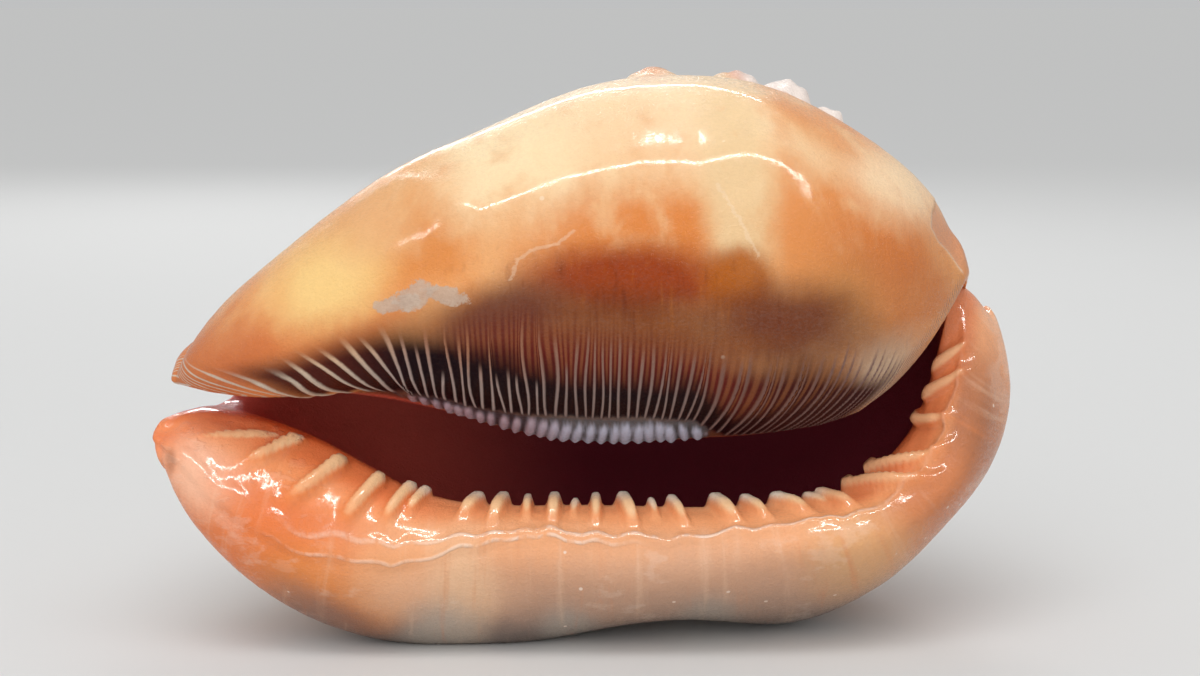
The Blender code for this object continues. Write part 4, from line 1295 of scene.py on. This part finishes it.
def paint_folds(paint, colours, surface):
    """Return the surface with the stained zone, the folds and the beads of the columella over it."""
    zone, reach, number = paint.mark("fold_zone"), paint.mark("fold_reach"), paint.mark("fold_number")
    above, run = paint.mark("above_beads") / MM, paint.mark("run") / MM
    rise = 6 * paint.smooth(run, 55, 76) - 2.5
    low = paint.fall(above + rise + paint.drift * 3 + paint.streaks * 1.5, 9, 18)
    high = paint.smooth(above, 5, 16)
    fan = paint.fall(run, 26, 42)
    stain = paint.layers(
        tint("upper_stain"),
        (low, colours.groove),
        (paint.smooth(run, 96, 112) * 0.85, "spire_stain"),
        (fan * 0.75, "fan_stain"),
    )
    off_line = (number - number.math("ROUND")).math("ABSOLUTE") + paint.grain * 0.03
    line = paint.fall(off_line, 0.05, 0.21) * paint.smooth(reach, 0.05, 0.75)
    twice = number * 2
    fine = paint.fall((twice - twice.math("ROUND")).math("ABSOLUTE"), 0.12, 0.42)
    fine = fine * zone * (1 - low) * paint.smooth(above, 4, 9) * (1 - fan) * 0.3
    # The ridge's grey lower part, from the fold colour, holds painted shade and painted reflection.
    ridge = paint.layers(
        colours.fold,
        (high, "fold_top"),
        (paint.smooth(run, 56, 76) * 0.6, "middle_fold"),
        (paint.smooth(run, 85, 105) * 0.8, "spire_fold"),
        (fan * 0.6, "fan_fold"),
        (fan * high, "fan_fold_top"),
    )
    beside = (paint.smooth(run, 93, 98) + paint.fall(run, 40, 46) * paint.smooth(run, 30, 38)) * 0.85
    bead = paint.mark("bead")
    veins = paint.noise(paint.vector("MULTIPLY", paint.drawn, (1.0, 0.15, 0.15)), 1.6, 2.0)
    lobes = paint.mix(paint.smooth(bead + veins * 0.25, 0.1, 0.65), tint("bead_gap"), colours.bead)
    pink = paint.mix(paint.smooth(bead, 0.15, 0.6), tint("pink_bead_gap"), tint("pink_bead"))
    lobes = paint.mix(paint.fall(run, 62, 76) * 0.65, lobes, pink)
    return paint.layers(
        surface,
        (zone, stain),
        (fine, "fine_line"),
        (line * 0.92, ridge),
        (beside * paint.fall(above, -1.0, 0.6), "beside_beads"),
        (paint.mark("bead_band"), lobes),
    )


def paint_lip(paint, colours):
    """Return the colour of the lip: peach, stained orange between its teeth, and painted shade that darkens it
    low down.
    """
    tooth, outward = paint.mark("tooth"), paint.mark("outward") / MM
    place = paint.mark("place") / MM
    along = paint.add("ShaderNodeCombineXYZ", {}, {0: place, 1: outward * 0.08}).outputs[0]
    bands = paint.noise(along, 0.35, 3.0, 0.6)
    # Low down the lip turns to the lip_sole colour: painted shade of its downward-facing face.
    surface = paint.mix(paint.smooth(paint.z + paint.drift * 3, 2, 21), tint("lip_sole"), colours.lip)
    face = paint.smooth(outward, 10, 14)
    end = paint.fall(place, 26, 44)
    canal_side = paint.fall(place, 46, 66) * paint.fall(outward, 5, 11)
    root = paint.smooth(tooth, 0.05, 0.5) * (1 - 0.6 * paint.smooth(place, 44, 60))
    curl = paint.smooth(place, 118, 132)
    tip = paint.smooth(paint.mark("tooth_line"), 0.35, 0.75) * paint.smooth(outward, -4.5, -2.5)
    tip = tip * (1 - 0.5 * paint.smooth(outward, 4, 12))
    foot = paint.smooth(outward, 0, 4.5) * 0.8
    ridge = paint.layers(colours.tooth, (foot, "tooth_foot"), (curl, "curl_tooth"))
    return paint.layers(
        paint.clouds(surface, LIP_CLOUDS),
        (paint.smooth(bands, 0.05, 0.6) * 0.3, "pale_band"),
        (paint.smooth(-1 * bands, 0.1, 0.6) * 0.4, "orange_band"),
        (paint.flakes((0.07, 0.07, 0.11), 0.16) * face * 0.14, "face_flake"),
        (paint.specks(0.3, 0.13, 0.22) * face * 0.75, "lip_speck"),
        (paint.mark("hollow") * 0.75, colours.lip_hollow),
        # Pale flakes at the canal end: the glaze's flaked edges, and painted highlight of the crinkles' glints.
        (paint.flakes(FLAKE_STRETCH, FLAKE_LEVEL) * end * 0.1, "end_flake_glint"),
        # Pale lines along the crest's edges: painted highlight of the glints that the crest catches.
        (paint.crest() * 0.5, "crest_highlight"),
        (canal_side * (0.4 + 0.2 * paint.smooth(place, 16, 30)), "canal_side"),
        (paint.fall(outward, -3.5, 1.0) * 0.8, "mouth_edge"),
        (paint.fall(outward, -8, -2), colours.throat),
        (root * paint.smooth(outward, -3, 0) * 0.5, "tooth_root"),
        (curl * paint.fall(outward, 4, 9) * 0.5, "curl"),
        (tip * (1 - curl * 0.25), ridge),
    )


def paint_back(paint, colours):
    """Return the colour of the bare back: blotches, with pale knobs and dark seams between the whorls."""
    blotches = paint.smooth(paint.noise(paint.drawn, 0.07, 4.0, 0.6), -0.1, 0.35)
    rosy = paint.fall(paint.x, 27, 33) * paint.smooth(paint.z, 84, 96)
    return paint.layers(
        colours.back,
        (blotches, colours.blotch),
        (paint.smooth(paint.grain, 0.0, 0.6) * 0.3, "back_grain"),
        (paint.smooth(paint.mark("knob"), 0.15, 0.75) * 0.9, paint.mix(rosy, colours.knob, tint("rosy_knob"))),
        (paint.smooth(paint.mark("seam"), 0.3, 0.9) * 0.7, "seam"),
    )


def glazed_shell_material(colours):
    """Return the material of the shell: clouds of colour under a clear glaze."""
    material = bpy.data.materials.new("glazed_shell")
    material.use_nodes = True
    material.node_tree.nodes.clear()
    paint = Paint(material.node_tree)
    glaze, throat, lip = paint.mark("glaze"), paint.mark("throat"), paint.mark("lip")
    canal_end = paint.fall(paint.mark("place") / MM, 35, 85)
    depth = paint.layers(
        colours.throat,
        # Darker deeper inside the mouth: painted shade of the hollow.
        (paint.smooth(throat, 0.3, 1), colours.throat_deep_shade),
        # Brighter towards the canal end: painted light that shines through the thin wall there.
        (canal_end * 0.8, "canal_throat_glow"),
    )
    surface = paint.layers(
        paint_back(paint, colours),
        (glaze, paint_folds(paint, colours, paint_shield(paint, colours))),
        (lip, paint_lip(paint, colours)),
        (paint.smooth(throat, 0, 0.3), depth),
        (paint.smooth(paint.grain, -0.2, 0.8) * 0.06, "grain"),
    )
    fine = paint.noise(paint.drawn, 2.2, 5.0, 0.65) * 0.7 + paint.noise(paint.drawn, 0.5, 3.0, 0.6) * 0.8
    lines = paint.crest() * lip + paint.flakes(FLAKE_STRETCH, FLAKE_LEVEL) * paint.mark("wrinkle") * 0.6
    bump = paint.add("ShaderNodeBump", {}, {"Strength": 0.4, "Distance": 0.0004, "Height": fine + lines * 3})
    pits = paint.noise(paint.vector("MULTIPLY", paint.drawn, (0.7, 1.0, 1.4)), 2.0, 3.0, 0.6)
    gloss = (0.12 + 0.68 * paint.smooth(pits, -0.2, 0.35)) * (0.3 + glaze * 0.7 + lip * 0.2)
    shader = paint.add("ShaderNodeBsdfPrincipled", {}, {
        "Base Color": surface,
        "Roughness": 0.32 + (1 - glaze) * 0.12 + throat * 0.15 + paint.grain * 0.04,
        "Normal": bump.outputs[0],
        "Coat Weight": gloss * (1 - paint.mark("fold_zone") * 0.85),
        "Coat Roughness": 0.12,
        "Specular IOR Level": 0.06,
    })
    paint.add("ShaderNodeOutputMaterial", {}, {"Surface": shader.outputs[0]})
    return material


# Properties, operators and the panel


def length_property(name, description, default):
    """Return a length property in metres from a default in millimetres."""
    return bpy.props.FloatProperty(
        name=name, description=description, default=default * MM, min=0.0, unit="LENGTH", subtype="DISTANCE"
    )


def colour_property(name, description, code):
    """Return a colour property from a hexadecimal colour code."""
    return bpy.props.FloatVectorProperty(
        name=name, description=description, default=colour(code), size=4, min=0.0, max=1.0, subtype="COLOR"
    )


class ShellShape(bpy.types.PropertyGroup):
    """Sizes of the shell's features."""

    tooth_height: length_property("Tooth Height", "Height of the teeth of the lip", 1.9)
    crest_height: length_property("Crest Height", "Height of the crest where the lip turns down", 0.7)
    hollow_depth: length_property("Hollow Depth", "Depth of the shelf between the teeth", 0.5)
    fold_height: length_property("Fold Height", "Height of the folds of the columella", 0.6)
    bead_height: length_property("Bead Height", "Height of the beads along the columella's edge", 1.1)
    brow_height: length_property("Brow Height", "Height of the blunt ridges along the shield", 0.7)
    rib_height: length_property("Rib Height", "Height of the faint ribs of the lip", 0.16)
    knob_height: length_property("Knob Height", "Height of the knobs of the back", 5.0)
    cord_height: length_property("Cord Height", "Height of the fine cords of the back", 0.14)
    glaze_thickness: length_property("Glaze Thickness", "Step at the edge of the glaze", 0.9)
    wrinkle_height: length_property("Wrinkle Height", "Height of the wrinkles at the canal end of the lip", 0.5)
    wrinkle_size: length_property("Wrinkle Size", "Size of the wrinkles", 2.4)
    swell_height: length_property("Swell Height", "Height of the swells of the shield", 0.35)
    swell_size: length_property("Swell Size", "Size of the swells of the shield", 16.0)
    crackle_height: length_property("Crackle Height", "Height of the fine unevenness of the glaze", 0.08)
    crackle_size: length_property("Crackle Size", "Size of the fine unevenness of the glaze", 2.4)
    growth_height: length_property("Growth Height", "Height of the growth lines of the back", 0.18)
    growth_spacing: length_property("Growth Spacing", "Spacing of the growth lines of the back", 5.5)
    whorl_height: length_property("Whorl Height", "Height of the whorls of the spire", 2.4)


class ShellColours(bpy.types.PropertyGroup):
    """Main colours of the shell."""

    shield_orange: colour_property("Shield Orange", "Darker ground colour of the shield", "de8d4e")
    shield_pale: colour_property("Shield Pale", "Paler ground colour of the shield", "eaae74")
    groove: colour_property("Groove", "Stain between the folds, near the beads", "18060c")
    fold: colour_property("Fold", "Lower part of the folds of the columella", "ac9a94")
    # The folds' own colour is whitish; this greyer, lilac colour adds painted shade and painted reflection.
    bead: colour_property("Bead", "Beads along the columella's edge", "bcc1d6")
    # Whitish beads; their blue tint is painted reflection.
    crack: colour_property("Crack", "Cracks and flaked edges of the glaze", "f3dcc0")
    chalk: colour_property("Chalk", "Chalky patch on the shield", "c0aa98")
    lip: colour_property("Lip", "Face of the lip", "f2ac7c")
    lip_hollow: colour_property("Lip Hollow", "Shelf between the teeth", "ffac74")
    tooth: colour_property("Tooth", "Teeth of the lip", "fff0dc")
    throat: colour_property("Throat", "Hollow just inside the mouth", "dc6446")
    # Darker colour far inside the mouth: painted shade of the hollow.
    throat_deep_shade: colour_property("Deep Throat", "Hollow far inside the mouth", "86303c")
    back: colour_property("Back", "Ground colour of the back", "dcae88")
    blotch: colour_property("Blotch", "Blotches of the back", "a55c38")
    knob: colour_property("Knob", "Knobs of the back", "f4e8e0")


class StageSettings(bpy.types.PropertyGroup):
    """The floor, the lights and the camera."""

    floor: colour_property("Floor", "Colour of the floor", "d6d6d5")
    surround: colour_property("Surround", "Colour of the light from all round", "f4f5f6")
    surround_strength: bpy.props.FloatProperty(
        name="Surround Strength", description="Strength of the light from all round", default=0.58, min=0.0
    )
    key_strength: bpy.props.FloatProperty(
        name="Key Strength", description="Strength of the broad light overhead", default=1.15, min=0.0
    )
    camera_lens: bpy.props.FloatProperty(
        name="Lens", description="Focal length in millimetres on a 36 mm wide sensor", default=67.62, min=1.0
    )
    camera_pitch: bpy.props.FloatProperty(
        name="Camera Pitch", description="How far the camera looks down", default=math.radians(8.5),
        subtype="ANGLE", unit="ROTATION",
    )
    camera_place: bpy.props.FloatVectorProperty(
        name="Camera Place", description="Where the camera stands", default=(0.0016, -0.4332, 0.118),
        subtype="TRANSLATION", unit="LENGTH",
    )


class SHELL_OT_add_shell(bpy.types.Operator):
    """Model the shell in place of its plain solid"""

    bl_idname = "shell.add_shell"
    bl_label = "Add Shell"
    bl_options = {"REGISTER", "UNDO"}

    def execute(self, context):
        scene = context.scene
        shell = bpy.data.objects.new("shell", smooth_wall_mesh())
        scene.collection.objects.link(shell)
        mesh = lift_relief(shell, scene.shell_shape, glazed_shell_material(scene.shell_colours))
        shell.modifiers.clear()
        shell.data = mesh
        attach(shell, "root")
        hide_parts(NODE)
        return {"FINISHED"}


class SHELL_OT_add_stage(bpy.types.Operator):
    """Add the floor, the lights and the camera"""

    bl_idname = "shell.add_stage"
    bl_label = "Add Stage"
    bl_options = {"REGISTER", "UNDO"}

    def execute(self, context):
        stage = context.scene.shell_stage
        add_floor(context.scene, stage)
        add_lights(context.scene, stage)
        add_camera(context.scene, stage)
        return {"FINISHED"}


FLOOR_HALF = 40.0
"""Half the side of the floor, in metres."""


def add_floor(scene, stage):
    """Add a pale floor."""
    mesh = bpy.data.meshes.new("floor")
    corners = [(x * FLOOR_HALF, y * FLOOR_HALF, 0) for x, y in ((-1, -1), (1, -1), (1, 1), (-1, 1))]
    mesh.from_pydata(corners, [], [(0, 1, 2, 3)])
    floor = bpy.data.objects.new("floor", mesh)
    scene.collection.objects.link(floor)
    material = bpy.data.materials.new("pale_floor")
    material.use_nodes = True
    shader = material.node_tree.nodes["Principled BSDF"]
    shader.inputs["Base Color"].default_value = stage.floor
    shader.inputs["Roughness"].default_value = 0.8
    shader.inputs["Specular IOR Level"].default_value = 0.0
    mesh.materials.append(material)


# Lights: (name, place, direction of the long side, long side, short side, power, whether the glaze mirrors it).
# The panels light the shell. The strips and the patch are only seen mirrored in the glaze.
SOFT_BOXES = [
    ("panel_back", (-0.02, 0.77, 0.62), (0.46, -0.31, 0.40), 0.95, 0.3, 1.69, False),
    ("panel_top", (0.0, -0.29, 0.82), (1, 0, 0), 0.9, 0.3, 1.8, False),
    ("panel_front", (0.0, -0.75, 0.16), (1, 0, 0), 0.7, 0.3, 0.6, False),
    ("strip_back", (-0.02, 0.675, 0.55), (0.46, -0.31, 0.40), 0.95, 0.03, 3.3, True),
    ("strip_top", (0.05, -0.25, 0.72), (1, 0, 0), 1.15, 0.05, 7.5, True),
    ("patch_top", (-0.02, 0.04, 0.72), (1, 0, 0), 0.09, 0.04, 0.4, True),
]
LIT_POINT = Vector((0, 0, 0.05))
"""The point that the lights face."""
SKY_ANGLE = math.radians(60)
SKY_TURN = (math.radians(42), math.radians(-12), 0)


def add_lamp(scene, name, kind, power, mirrored):
    """Add a light that falls on things or is mirrored in them, but not both, and return its object."""
    light = bpy.data.lights.new(name, kind)
    light.energy = power
    lamp = bpy.data.objects.new(name, light)
    lamp.visible_glossy = mirrored
    lamp.visible_diffuse = not mirrored
    scene.collection.objects.link(lamp)
    return lamp


def add_lights(scene, stage):
    """Add panels, bright shapes that the glaze mirrors, a broad light overhead and a pale surround."""
    for name, place, along, long_side, short_side, power, mirrored in SOFT_BOXES:
        lamp = add_lamp(scene, name, "AREA", power, mirrored)
        lamp.data.shape = "ELLIPSE" if mirrored else "RECTANGLE"
        lamp.data.size, lamp.data.size_y = long_side, short_side
        place, along = Vector(place), Vector(along)
        back = (place - LIT_POINT).normalized()
        side = (along - along.dot(back) * back).normalized()
        turn = Matrix((side, back.cross(side), back)).transposed()
        lamp.matrix_world = Matrix.LocRotScale(place, turn.to_quaternion(), None)
    sky = add_lamp(scene, "sky_panel", "SUN", stage.key_strength, False)
    sky.data.angle = SKY_ANGLE
    sky.rotation_euler = SKY_TURN
    world = bpy.data.worlds.new("studio")
    world.use_nodes = True
    surround = world.node_tree.nodes["Background"]
    surround.inputs["Color"].default_value = stage.surround
    surround.inputs["Strength"].default_value = stage.surround_strength
    scene.world = world
    scene.view_settings.view_transform = "Standard"


SENSOR_WIDTH = 36
"""Width of the camera's sensor, in millimetres."""
NEAR_LIMIT = 0.01
"""Distance, in metres, from which the camera sees things."""


def add_camera(scene, stage):
    """Add the camera, a little above the shell and in front of its mouth."""
    camera = bpy.data.cameras.new("camera")
    camera.sensor_width = SENSOR_WIDTH
    camera.lens = stage.camera_lens
    camera.clip_start = NEAR_LIMIT
    eye = bpy.data.objects.new("camera", camera)
    eye.location = stage.camera_place
    eye.rotation_euler = (math.pi / 2 - stage.camera_pitch, 0, 0)
    scene.collection.objects.link(eye)
    scene.camera = eye


class SHELL_PT_panel(bpy.types.Panel):
    """Lists the shell's sizes and colours, its stage and its operators"""

    bl_idname = "SHELL_PT_panel"
    bl_label = "Helmet Shell"
    bl_space_type = "VIEW_3D"
    bl_region_type = "UI"
    bl_category = "Helmet Shell"

    def draw(self, context):
        layout = self.layout
        groups = (context.scene.shell_shape, context.scene.shell_colours, context.scene.shell_stage)
        for group in groups:
            for name in type(group).__annotations__:
                layout.prop(group, name)
        layout.operator(SHELL_OT_add_shell.bl_idname)
        layout.operator(SHELL_OT_add_stage.bl_idname)


CLASSES = (ShellShape, ShellColours, StageSettings, SHELL_OT_add_shell, SHELL_OT_add_stage, SHELL_PT_panel)


def register():
    """Register the classes and the scene's properties."""
    for item in CLASSES:
        bpy.utils.register_class(item)
    bpy.types.Scene.shell_shape = bpy.props.PointerProperty(type=ShellShape)
    bpy.types.Scene.shell_colours = bpy.props.PointerProperty(type=ShellColours)
    bpy.types.Scene.shell_stage = bpy.props.PointerProperty(type=StageSettings)


def unregister():
    """Remove the classes and the scene's properties."""
    del bpy.types.Scene.shell_stage
    del bpy.types.Scene.shell_colours
    del bpy.types.Scene.shell_shape
    for item in reversed(CLASSES):
        bpy.utils.unregister_class(item)


def main():
    """Build the shell and its stage."""
    register()
    bpy.ops.shell.add_shell()
    bpy.ops.shell.add_stage()


if __name__ == "__main__":
    main()
